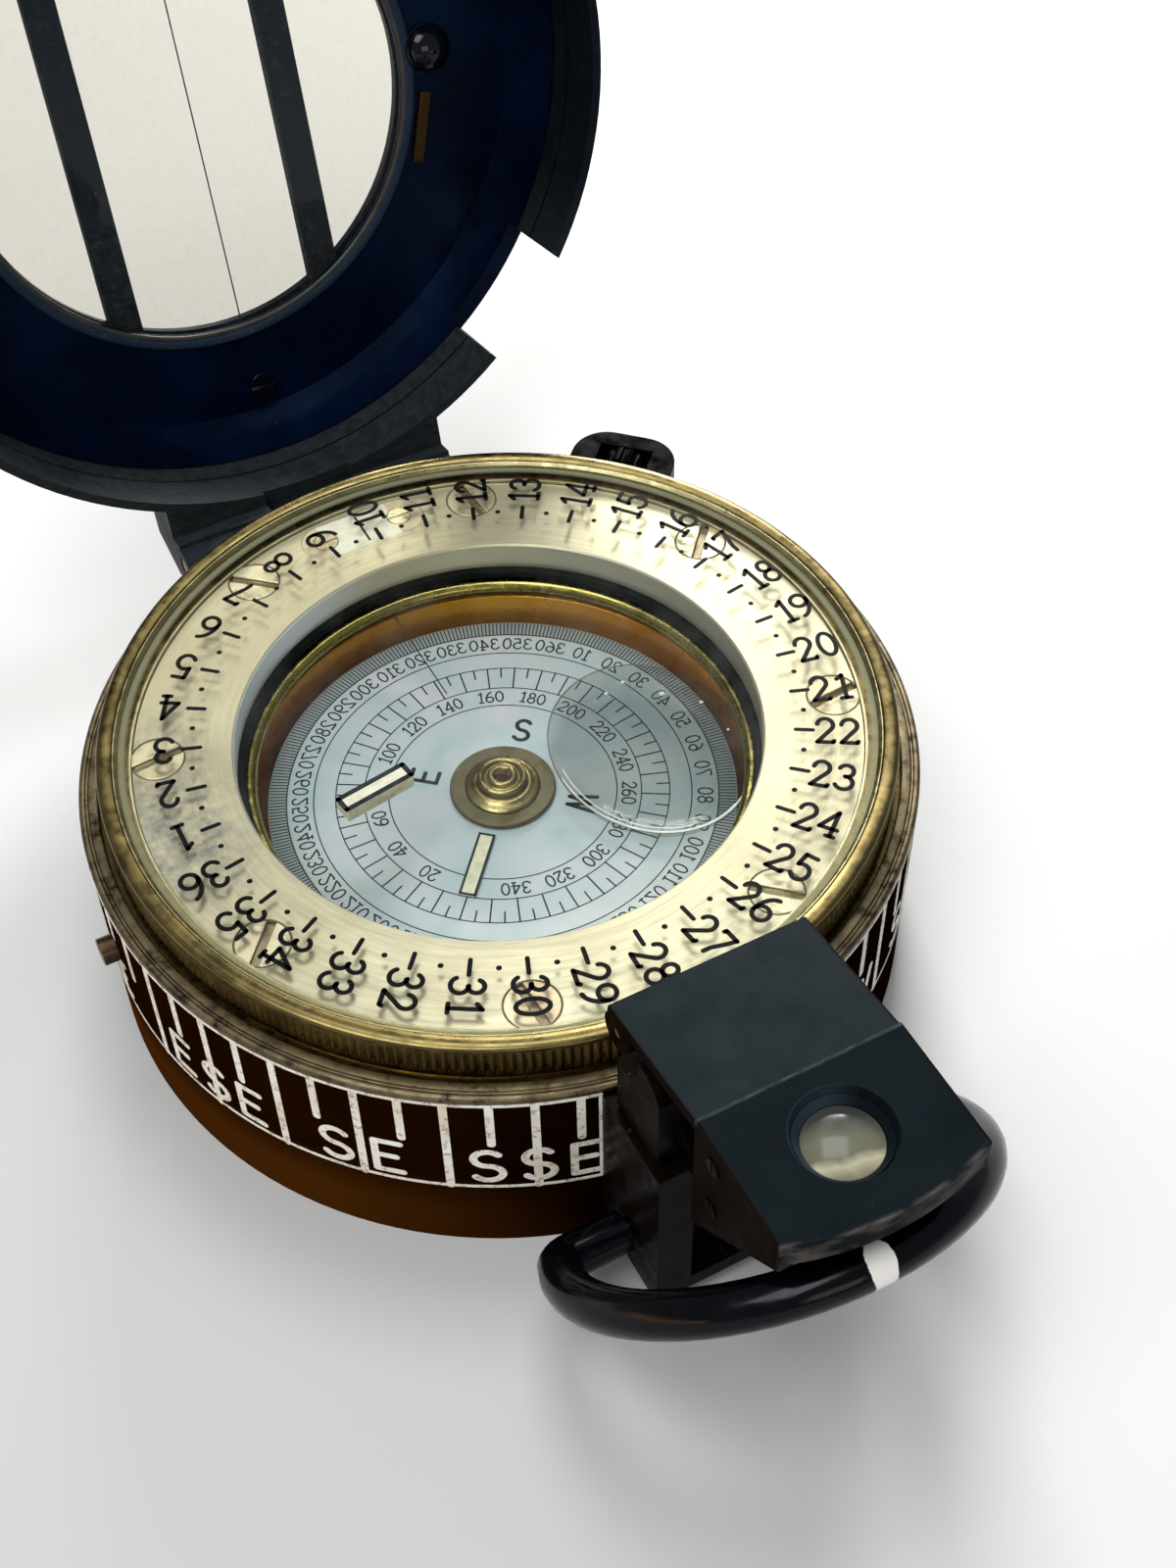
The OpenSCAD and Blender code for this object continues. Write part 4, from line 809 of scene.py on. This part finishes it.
bubble("air_bubble", clear_glass("bubble_skin", (0.87, 0.875, 0.87), gloss=0.03, straight=0.03))
# Strips along the bubble's edge and small spots: painted shade and painted highlights.
painted_bubble_lines = []
for grow, width, start, end, tone in PAINTED_EDGE_LINES:
    arc = bow(*BUBBLE_AT, BUBBLE_HALF[0] + grow, BUBBLE_HALF[1] + grow, start, end, 60)
    painted_bubble_lines.append((arc, width, tone))
for x, y, width in PAINTED_LIGHT_SPOTS:
    painted_bubble_lines.append(([(x - 0.02, y), (x + 0.02, y)], width, "bright"))
for tone, (colour, rough) in BUBBLE_TONES.items():
    material, p = shader("bubble_" + tone, roughness=rough)
    paint(p, two_tones(p, 0.8, [0.75 * c for c in colour], colour, detail=3.0))
    points, faces = [], []
    for k, (line, width, which) in enumerate(painted_bubble_lines):
        if which == tone:
            lift = 0.012 + 0.003 * k
            new_points, new_faces = pen_lines([line], width, lift, on_flat(BUBBLE_TOP - 0.045))
            faces += (new_faces + len(points)).tolist()
            points += new_points.tolist()
    make_piece("bubble_" + tone + "_line", points, faces, material, "case", smooth=50)

# Dial plate
# A nickel-plated brass ring, turned in a lathe, covers the bowl's flange. Eight slotted screws hold it,
# and grey stains have crept under the plating on one side.
PLATE_TOP = 21.5
SEAT_AT = 26.75
SEAT_R = 2.14

material, p = shader("turned_nickel", metallic=0.55, roughness=0.36)
r, z, x, y = where_on_it(p)
lines_at = add(p.id_data, "CombineXYZ")
feed(lines_at, "X", times(r, 2.6))
feed(lines_at, "Y", times(x, 0.13))
feed(lines_at, "Z", times(y, 0.13))
grain = add(p.id_data, "TexNoise", Scale=1.0, Detail=6.0, Roughness=0.7)
feed(grain, "Vector", lines_at.outputs["Vector"])
grain = grain.outputs["Fac"]
cloud = noise(p, 0.14, detail=7.0, warp=0.5)
tone = ramp(cloud, [(0.25, (0.50, 0.44, 0.28)), (0.55, (0.61, 0.55, 0.37)), (0.8, (0.70, 0.65, 0.46))])
turned = blend_colours(between(grain, 0.36, 0.66, 0.0, 0.8), tone, (0.36, 0.33, 0.23))
# Painted reflection and shade on the plate's inner bevel: bluish-white sky towards one side, darker
# towards the other.
bevel = times(between(z, PLATE_TOP - 0.04, PLATE_TOP - 0.12), between(r, 24.0, 23.0))
bevel_painted_sky_and_shade = blend_colours(between(x, -1.0, -10.0), (0.62, 0.56, 0.38), (0.95, 1.0, 1.0))
bevel_painted_sky_and_shade = blend_colours(between(x, 7.0, 14.0), bevel_painted_sky_and_shade, (0.42, 0.39, 0.30))
turned = blend_colours(bevel, turned, bevel_painted_sky_and_shade)
patch = times(between(x, -19.0, -24.5), between(y, 16.0, 10.0), between(y, -7.0, -1.0))
stain = times(patch, between(noise(p, 0.7, detail=9.0, rough=0.7), 0.35, 0.62))
paint(p, blend_colours(stain, turned, (0.22, 0.21, 0.19)))
feed(p, "Roughness", between(grain, 0.3, 0.7, 0.28, 0.46))
emboss(p, grain, 0.35, 0.02)
refine("dial_plate", material, 0.12)

material, p = shader("screw_nickel", metallic=0.6, roughness=0.3)
tone = ramp(noise(p, 0.11, detail=3.0, shift=(4, 2, 0)), [
    (0.3, (0.56, 0.42, 0.26)), (0.45, (0.66, 0.58, 0.38)), (0.7, (0.72, 0.67, 0.47))])
r, z, x, y = where_on_it(p)
slot_floor = between(z, PLATE_TOP - 0.08, PLATE_TOP - 0.16)
paint(p, blend_colours(slot_floor, tone, (0.26, 0.21, 0.12)))
cloud_roughness(p, 1.0, 0.22, 0.4, detail=5.0)
emboss(p, noise(p, 2.0, stretch=(1, 4, 1), detail=4.0), 0.3, 0.01)
refine("plate_screws", material, 0.08)
refine("patch_screws", material, 0.05)
seat_shade, p = shader("screw_seat_shade", roughness=0.6, specular=0.1)
paint(p, two_tones(p, 0.8, (0.07, 0.055, 0.03), (0.16, 0.13, 0.08), detail=3.0))
seats = []
for k in range(8):
    angle = 23.5 + 45 * k
    seats.append(bow(*polar(angle, SEAT_AT), SEAT_R, SEAT_R, angle + 27, angle + 333, 60))
draw("screw_seats", seats, 0.13, 0.012, on_flat(PLATE_TOP), seat_shade, "case")

# Lubber patch
# A luminous patch let into the plate behind the bezel's figures, cream with coppery ends. The black line
# down its middle is the fixed mark.
LUBBER_LINE = [(0.0, 24.55), (0.0, 27.7)]

material, p = shader("lubber_face", roughness=0.5)
r, z, x, y = where_on_it(p)
ends = sums("MAXIMUM", between(x, 2.78, 2.88), between(x, -3.45, -3.55))
cream = two_tones(p, 0.8, (0.66, 0.63, 0.47), (0.80, 0.78, 0.64), detail=7.0)
copper = two_tones(p, 0.8, (0.50, 0.39, 0.25), (0.66, 0.56, 0.38), detail=7.0)
paint(p, blend_colours(ends, cream, copper))
emboss(p, noise(p, 4.0, detail=5.0), 0.4, 0.02)
refine("lubber_patch", material, 0.06)
draw("lubber_line", [LUBBER_LINE], 0.2, 0.015, on_flat(PLATE_TOP), card_ink, "case")

# Keeper ring
# A thin ring screwed round the top of the case keeps the bezel in. Its enamel is rubbed to bare brown
# brass.
keeper_brass = brass("worn_keeper", (0.075, 0.060, 0.034), (0.19, 0.15, 0.085), roughness=0.42,
                     dirt=(0.012, 0.007, 0.005))
low, high = (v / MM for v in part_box("bezel_keeper"))
keeper_profile = [(31.7, low.z), (high.x, low.z), (high.x, high.z - 0.2), (high.x - 0.2, high.z - 0.03),
                  (high.x - 0.46, high.z - 0.03), (high.x - 0.54, high.z - 0.17),
                  (high.x - 0.72, high.z - 0.17), (high.x - 0.8, high.z), (31.82, high.z),
                  (31.7, high.z - 0.12)]
keeper = lathe("keeper_ring", fillet(keeper_profile, 0.05, 3), keeper_brass, "case")
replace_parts(keeper, "bezel_keeper")

# Bezel
# A brass ring that turns on the case, knurled round its side for the fingers and polished by them along
# the crest. A sprung lip holds its glass, whose edge shows green.
BEZEL_R = 31.35
BEZEL_TOP = 22.93
KNURL_LOW = 19.62
KNURL_HIGH = 22.42
KNURL_COUNT = 288
KNURL_DEEP = 0.2
CREST_FOOT = 22.64
CREST_HIGH = 0.29


def knurled(r, z, angle):
    """Ribs round the side: a rounded wave of the angle, fading out at the top and foot of the knurl."""
    fade = np.clip((z - KNURL_LOW) / 0.12, 0, 1) * np.clip((KNURL_HIGH - z) / 0.12, 0, 1)
    wave = np.abs(np.cos(angle * KNURL_COUNT / 2)) ** 1.4
    return -KNURL_DEEP * fade * (r > BEZEL_R - 0.3) * (1 - wave)


low, high = (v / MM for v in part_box("bezel_ring"))
SIDE_R = BEZEL_R - 0.02
bend = np.radians(np.linspace(0, 90, 9))
bezel_profile = [(29.0, low.z), (32.2, low.z), (32.2, 18.88), (31.0, 18.9), (31.0, KNURL_LOW - 0.12),
                 (SIDE_R, KNURL_LOW - 0.06)]
bezel_profile += [(SIDE_R, z) for z in np.linspace(KNURL_LOW, KNURL_HIGH, 8)]
bezel_profile += [(BEZEL_R - 0.24, KNURL_HIGH + 0.05), (BEZEL_R - 0.18, KNURL_HIGH + 0.12),
                  (SIDE_R, KNURL_HIGH + 0.2)]
bezel_profile += [(SIDE_R - 0.48 * (1 - math.cos(b)), CREST_FOOT + CREST_HIGH * math.sin(b))
                  for b in bend]
bezel_profile += [(30.22, BEZEL_TOP), (30.13, BEZEL_TOP - 0.07), (30.13, 21.8), (29.0, 21.8)]

material, p = shader("bezel_brass", metallic=1.0, roughness=0.28)
r, z, x, y = where_on_it(p)
gold = two_tones(p, 0.3, (0.075, 0.060, 0.023), (0.17, 0.135, 0.052), detail=6.0)
dark = two_tones(p, 0.5, (0.13, 0.088, 0.028), (0.26, 0.18, 0.062), detail=6.0)
ribs = blend_colours(times(between(r, BEZEL_R - 0.19, BEZEL_R - 0.04), 0.75), dark, gold)
crest = between(z, KNURL_HIGH + 0.08, KNURL_HIGH + 0.2)
rubbed = between(noise(p, 0.2, detail=7.0, shift=(1, 1, 0)), 0.3, 0.6, 0.55, 1.0)
paint(p, blend_colours(times(crest, rubbed), ribs, gold))
feed(p, "Roughness", between(noise(p, 0.9, detail=6.0), 0.3, 0.75, 0.2, 0.4))
emboss(p, noise(p, 2.5, detail=5.0), 0.2, 0.006)
knurled_ring = lathe("bezel_knurled", bezel_profile, material, "bezel", turns=KNURL_COUNT * 6,
                     smooth=50, ripple=knurled)
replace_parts(knurled_ring, "bezel_ring")

lip_gold = brass("lip_gold", (0.17, 0.15, 0.07), (0.30, 0.27, 0.14), tarnish=0.7, scratch=0.002)
low, high = (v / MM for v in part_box("bezel_lip"))
lip_profile = [(high.x - 0.4, low.z), (high.x, low.z), (high.x, high.z), (high.x - 0.12, high.z),
               (high.x - 0.4, high.z - 0.26)]
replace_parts(lathe("bezel_lip_ring", fillet(lip_profile, 0.06), lip_gold, "bezel"), "bezel_lip")
cream_step = brass("cream_step", (0.30, 0.27, 0.15), (0.50, 0.46, 0.29),
                   tarnish=0.74, roughness=0.4, scratch=0.002)
step_profile = [(28.74, 21.3), (29.02, 21.3), (29.02, 21.76), (28.78, 21.76), (28.74, 21.6)]
lathe("bezel_inner_step", fillet(step_profile, 0.04, 3), cream_step, "bezel")

# Bezel glass and its figures
# The glass turns with the bezel. Thirty-six numbers, their lines and the dots between are cut into it
# and filled with black, to be read outwards from the middle.
GLASS_TOP = 22.4
NUMBER_ZERO = 90 + 98.5
NUMBER_HIGH = 2.46
TICK_R = (23.3, 24.62)
DOT_R = 24.0
ONE_DIGIT_R = (26.15,)
TEENS_R = (26.0, 27.5)
TWO_DIGITS_R = (25.62, 27.5)
low, high = (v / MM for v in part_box("bezel_glass"))
green_edge = (28.95, (0.30, 0.30, 0.18), 0.45)
bezel_clear = clear_glass("bezel_glass_clear", (0.985, 0.99, 0.978), edge=green_edge)
bezel_disc = disc("bezel_glass_disc", high.x, low.z, high.z, bezel_clear, "bezel",
                  turns=TURNS)
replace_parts(bezel_disc, "bezel_glass")

material, p = shader("black_filling", roughness=0.6, specular=0.05)
paint(p, two_tones(p, 1.5, (0.0022, 0.0022, 0.0024), (0.007, 0.0065, 0.006), (0.3, 0.75)))
ticks, dots, digits = [], [], []
for k in range(1, 37):
    angle = NUMBER_ZERO - 10 * k
    ticks.append(spoke(angle, *TICK_R))
    x, y = polar(angle - 5, DOT_R)
    dots.append([(x - 0.01, y), (x + 0.01, y)])
    at = ONE_DIGIT_R if k < 10 else TEENS_R if k < 20 else TWO_DIGITS_R
    for letter, out in zip(str(k), at):
        digits += words(letter, NUMBER_HIGH, polar(angle, out), angle)
for name, lines, width in (("bezel_ticks", ticks, 0.36), ("bezel_dots", dots, 0.43),
                           ("bezel_numbers", digits, 0.38)):
    draw(name, lines, width, 0.02, on_flat(GLASS_TOP), material, "bezel")

refine("index_strip", luminous_cream, 0.06)
bar_outline("index_outline", -171.5, 8.55, 14.55, 1.7, GLASS_TOP, "bezel", 0.42)

# Clamp
# A black guard on the case shelters a turned screw that presses a brass shoe up against the bezel's
# foot.
black_enamel = enamel("black_enamel", (0.0006, 0.0006, 0.0007), (0.002, 0.002, 0.002),
                      (0.03, 0.025, 0.02), roughness=0.17, grain=0.005)
shoe_brass = brass("shoe_brass", (0.3, 0.2, 0.08), (0.5, 0.36, 0.16))
refine("clamp_guard", black_enamel, 0.25)
refine("clamp_screw", black_enamel, 0.06)
nodes["clamp_shoe"].data.materials[0] = shoe_brass

# Hinge and stud
# A block screwed to the case carries the middle knuckle of the lid's hinge, and the stud beside it takes
# the lid's rim.
dusty_enamel = enamel("dusty_enamel", (0.011, 0.012, 0.012), (0.030, 0.031, 0.029), (0.08, 0.075, 0.06),
                      roughness=0.5, speck=0.6, wear_scale=0.5, specular=0.06)
refine("hinge_block", dusty_enamel, 0.15)
refine("hinge_screws", screw_brass, 0.05)
refine("lid_hinge_pin", screw_brass, 0.05)
stud_bronze = brass("stud_bronze", (0.02, 0.014, 0.009), (0.11, 0.075, 0.04), roughness=0.35)
refine("lid_stud", stud_bronze, 0.06)

# Lid
# A deep spun cup with a window in it, enamelled blue-black. It is glossy inside, and its skirt is dull,
# and lighter in streaks towards the hinge. A ring holds the window's glass, and two dark bars cross it
# outside.
HINGE_AT = Vector((0.0, 36.92, 13.9)) * MM
LID_TURN = math.radians(103.3)
LID_FACE = 27.4
WINDOW_Y = 2.55
HAIRLINE_X = 0.55
SKIRT_Z = 22.2
KNOB_AT = Vector((22.8, WINDOW_Y + 0.35, 0)) * MM
KNOB_R = 2.12
PUTTY_PROFILE = [(20.06, 0.02), (20.5, 0.02), (20.5, -0.2), (20.14, -0.16)]
BEAD_PROFILE = [(20.5, 0.02), (21.3, 0.02), (21.3, -0.2), (21.1, -0.34), (20.7, -0.34), (20.5, -0.22)]


def where_on_shut_lid(p):
    """Distance from the axis, height, x and y at a place of the lid as it lies when shut. The open lid
    is turned back about its hinge h: shut = h + turn (open - h)."""
    turn = Matrix.Rotation(LID_TURN, 3, "X")
    back = add(p.id_data, "Mapping", Rotation=(LID_TURN, 0, 0), Location=HINGE_AT - turn @ HINGE_AT)
    feed(back, "Vector", add(p.id_data, "TexCoord").outputs["Object"])
    return in_millimetres(back.outputs["Vector"])


def open_lid(obj):
    """Turn a piece made in place on the shut lid back about the hinge, to where the lid stands open."""
    turn = Matrix.Rotation(-LID_TURN, 4, "X")
    obj.data.transform(Matrix.Translation(HINGE_AT) @ turn @ Matrix.Translation(-HINGE_AT))
    return obj


def groove(z, low, high, fade):
    """Thin line round the lid, from one height to another, that fades to half at both."""
    return times(between(z, high + fade, high - fade), between(z, low - fade, low + fade))


material, p = shader("lid_gloss", roughness=0.3, specular=0.10)
p.inputs["Specular Tint"].default_value = (0.35, 0.62, 1.0, 1)
r, z, x, y = where_on_shut_lid(p)
navy = two_tones(p, 0.1, (0.0004, 0.0012, 0.0055), (0.0008, 0.0045, 0.019), (0.35, 0.7),
                 detail=6.0, warp=0.6)
dull = two_tones(p, 0.5, (0.0012, 0.0020, 0.0030), (0.005, 0.0065, 0.008), detail=8.0, rough=0.7)
# A lighter streaky tone, which the skirt turns to towards the hinge.
rubbed = two_tones(p, 0.7, (0.008, 0.010, 0.0115), (0.020, 0.023, 0.023), stretch=(1, 1, 5),
                   detail=7.0, rough=0.6)
# The skirt's colour turns lighter, in streaks, towards the hinge.
dull = blend_colours(between(y, 14.0, 24.0), dull, rubbed)
skirt = between(z, SKIRT_Z + 0.1, SKIRT_Z - 0.1)
line = sums("ADD", groove(z, 22.02, 22.38, 0.04), groove(z, 19.785, 20.015, 0.035))
specks = between(noise(p, 1.3, detail=9.0, rough=0.75, shift=(3, 1, 2)), 0.66, 0.72)
chips = times(specks, between(skirt, 0.0, 1.0, 0.3, 1.0))
body_colour = blend_colours(skirt, navy, dull)
body_colour = blend_colours(sums("MINIMUM", line, 0.9), body_colour, (0.0006, 0.0007, 0.001))
paint(p, blend_colours(chips, body_colour, (0.10, 0.095, 0.08)))
gloss = between(noise(p, 0.4, detail=5.0, shift=(7, 0, 0)), 0.3, 0.7, 0.24, 0.42)
feed(p, "Roughness", sums("ADD", gloss, times(skirt, 0.22)))
emboss(p, noise(p, 2.5, detail=4.0), 0.3, 0.005)
refine("lid_shell", material, 0.18)
refine("window_ring", material, 0.15)
bars_black = enamel("bars_black", (0.012, 0.021, 0.036), (0.018, 0.030, 0.049), (0.20, 0.21, 0.22),
                    roughness=0.5, speck=0.64, grain=0.005, wear_scale=2.4)
refine("window_bars", bars_black, 0.12)
window_clear = clear_glass("window_clear", (0.80, 0.79, 0.75), haze=(0.01, 0.075),
                           dusty=(0.44, 0.46, 0.48), fine=(2.0, 0.5, 0.8))
refine("window_glass", window_clear, 0.12)
olive, p = shader("window_putty", roughness=0.35)
paint(p, two_tones(p, 0.5, (0.008, 0.010, 0.006), (0.026, 0.030, 0.020), detail=6.0))
for name, profile, finish in (("window_putty_ring", PUTTY_PROFILE, olive),
                              ("window_bead", BEAD_PROFILE, bars_black)):
    raised = [(r, z + LID_FACE) for r, z in fillet(profile, 0.06, 3)]
    ring = lathe(name, raised, finish, "lid")
    ring.data.transform(Matrix.Translation((0, WINDOW_Y * MM, 0)))
    open_lid(ring)
window_line = [(HAIRLINE_X, WINDOW_Y - 20.0), (HAIRLINE_X, WINDOW_Y + 20.0)]
open_lid(draw("window_hairline", [window_line], 0.13, -0.012, on_flat(LID_FACE + 0.4), card_ink, "lid"))
knob_black = enamel("knob_black", (0.0008, 0.0012, 0.003), (0.002, 0.003, 0.007), (0.05, 0.05, 0.06),
                    roughness=0.14, speck=0.72, coat=0.2, grain=0.004, specular=0.15)
bend = np.radians(np.linspace(0, 88, 12))
dome = [(0.02, 27.5), (2.2, 27.5), (2.2, 27.15)]
dome += [(KNOB_R * math.cos(b), 27.1 - 1.5 * math.sin(b)) for b in bend]
dome += [(0.02, 25.55)]
knob = lathe("lid_knob_dome", dome, knob_black, "lid", turns=96, smooth=50)
knob.data.transform(Matrix.Translation(KNOB_AT))
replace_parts(open_lid(knob), "lid_knob")
leaf_brass = brass("leaf_brass", (0.0008, 0.0010, 0.0018), (0.075, 0.034, 0.012),
                   tarnish=0.3, roughness=0.5)
refine("lid_leaf", leaf_brass, 0.06)
refine("lid_screw", knob_black, 0.12)

# Bracket and slide
# A milled bracket screwed to the case, in which the slide that carries the prism box can be raised.
bracket_enamel = enamel("bracket_enamel", (0.0014, 0.0010, 0.0008), (0.0042, 0.0027, 0.0018),
                        (0.07, 0.045, 0.025), roughness=0.3, speck=0.64, wear_scale=0.7,
                        specular=0.04, tint=(1.0, 0.7, 0.5))
refine("prism_bracket", bracket_enamel, 0.2)
refine("bracket_screws", screw_brass, 0.05)
refine("prism_slide", bracket_enamel, 0.18)
refine("prism_hinge_pin", screw_brass, 0.05)

# Prism box
# The box is milled from brass, with satin blue-black enamel on its plates and browned sides. The lens is
# sunk in its top plate, and the flap behind carries the hinge.
LENS_Y = -49.05
SEAM_Y = -43.85
SEAM_LOW = 30.7
NOSE_AT_Y = -34.28
NOSE_R = 20.95

prism_satin, p = shader("prism_satin", roughness=0.5, specular=0.012)
r, z, x, y = where_on_it(p)
satin = two_tones(p, 0.2, (0.0048, 0.0080, 0.0095), (0.0085, 0.0135, 0.0160), detail=7.0, warp=0.4)
brown = two_tones(p, 0.3, (0.0020, 0.0009, 0.0006), (0.0065, 0.0026, 0.0015), detail=7.0, warp=0.4)
plate = between(y, SEAM_Y + 0.15, SEAM_Y - 0.1, 0.0, 0.55)
satin = blend_colours(plate, satin, (0.0012, 0.0024, 0.0042))
side = between(sums("ABSOLUTE", x), 7.45, 7.66)
low_down = between(z, 28.6, 27.2)
tone = blend_colours(sums("MAXIMUM", side, low_down), satin, brown)
# Painted highlight: a bluish sheen on the lit side of the lens's recess.
lens_y = sums("ADD", y, -LENS_Y)
lit = between(sums("SUBTRACT", lens_y, x), -0.5, 2.5)
painted_recess_highlight = times(between(distance(x, lens_y), 3.62, 3.54), lit, 0.8)
tone = blend_colours(painted_recess_highlight, tone, (0.022, 0.032, 0.042))
# Painted highlight: a broken bluish line along the seam between the flap and the box's top.
seam_highlight_breaks = noise(p, 1.1, stretch=(1, 3, 1), detail=7.0, rough=0.7)
painted_seam_highlight = times(between(y, SEAM_Y - 0.25, SEAM_Y - 0.1), between(y, SEAM_Y + 0.23, SEAM_Y + 0.09),
             between(z, SEAM_LOW, SEAM_LOW + 0.3), between(seam_highlight_breaks, 0.34, 0.62, 0.1, 0.8))
tone = blend_colours(painted_seam_highlight, tone, (0.040, 0.052, 0.060))
nose = distance(x, sums("ADD", y, -NOSE_AT_Y))
worn = noise(p, 0.7, stretch=(0.4, 1, 1), detail=4.0, rough=0.6)
chips = times(between(nose, NOSE_R - 0.15, NOSE_R + 0.15), between(y, -53.0, -54.0),
              between(worn, 0.42, 0.72))
tone = blend_colours(chips, tone, (0.085, 0.075, 0.07))
dust = between(noise(p, 1.6, detail=9.0, rough=0.75, shift=(4, 4, 1)), 0.64, 0.74, 0.0, 0.5)
paint(p, blend_colours(dust, tone, (0.045, 0.05, 0.052)))
cloud_roughness(p, 0.6, 0.36, 0.55, detail=5.0, shift=(7, 0, 0))
emboss(p, noise(p, 3.0, detail=4.0), 0.35, 0.012)
refine("prism_housing", prism_satin, 0.3)
refine("prism_flap", prism_satin, 0.3)
prism_clear = clear_glass("prism_clear", (0.85, 0.86, 0.84), gloss=0.03)
refine("prism_glass", prism_clear, 0.05)
# The lens's colour is painted light: a bright band of the dial's light seen through it near one edge,
# fading to dark across the rest.
material, p = shader("lens_painted_light", roughness=0.16, coat=0.15, specular=0.12)
r, z, x, y = where_on_it(p)
level = sums("ADD", sums("ADD", times(x, 0.3), y), times(noise(p, 0.35, detail=3.0, warp=0.5), 1.6))
paint(p, ramp(between(level, -50.9, -46.4), [
    (0.0, (0.17, 0.155, 0.10)), (0.2, (0.34, 0.32, 0.22)), (0.34, (0.10, 0.098, 0.066)),
    (0.6, (0.085, 0.085, 0.062)), (1.0, (0.035, 0.037, 0.032))]))
cloud_roughness(p, 1.0, 0.12, 0.26, detail=5.0)
refine("reading_lens", material, 0.05)
refine("lens_cell", prism_satin, 0.05)
refine("prism_screws", bracket_enamel, 0.04)

# Thumb ring
# A bent brass bar, enamelled glossy black, hangs from the bracket by its two ends for the thumb. White
# paint marks it at one place.
SPOT_AT = (-0.45, -55.1)
ring_gloss = enamel("ring_gloss", (0.0004, 0.0005, 0.0010), (0.0012, 0.0018, 0.0042),
                    (0.04, 0.035, 0.03), roughness=0.16, speck=0.72, coat=0.06, grain=0.004,
                    wear_scale=0.4, specular=0.12)
p = ring_gloss.node_tree.nodes["Principled BSDF"]
r, z, x, y = where_on_it(p)
across_spot = times(sums("ADD", x, -SPOT_AT[0]), 1.02)
along_spot = times(sums("ADD", y, -SPOT_AT[1]), 0.62)
spot = sums("ADD", times(across_spot, across_spot), times(along_spot, along_spot))
spot = sums("ADD", spot, between(noise(p, 0.9, detail=4.0), 0.3, 0.7, -0.2, 0.2))
lay_over(p, between(spot, 1.06, 0.94), (0.80, 0.78, 0.74))
refine("thumb_ring", ring_gloss, 0.0)
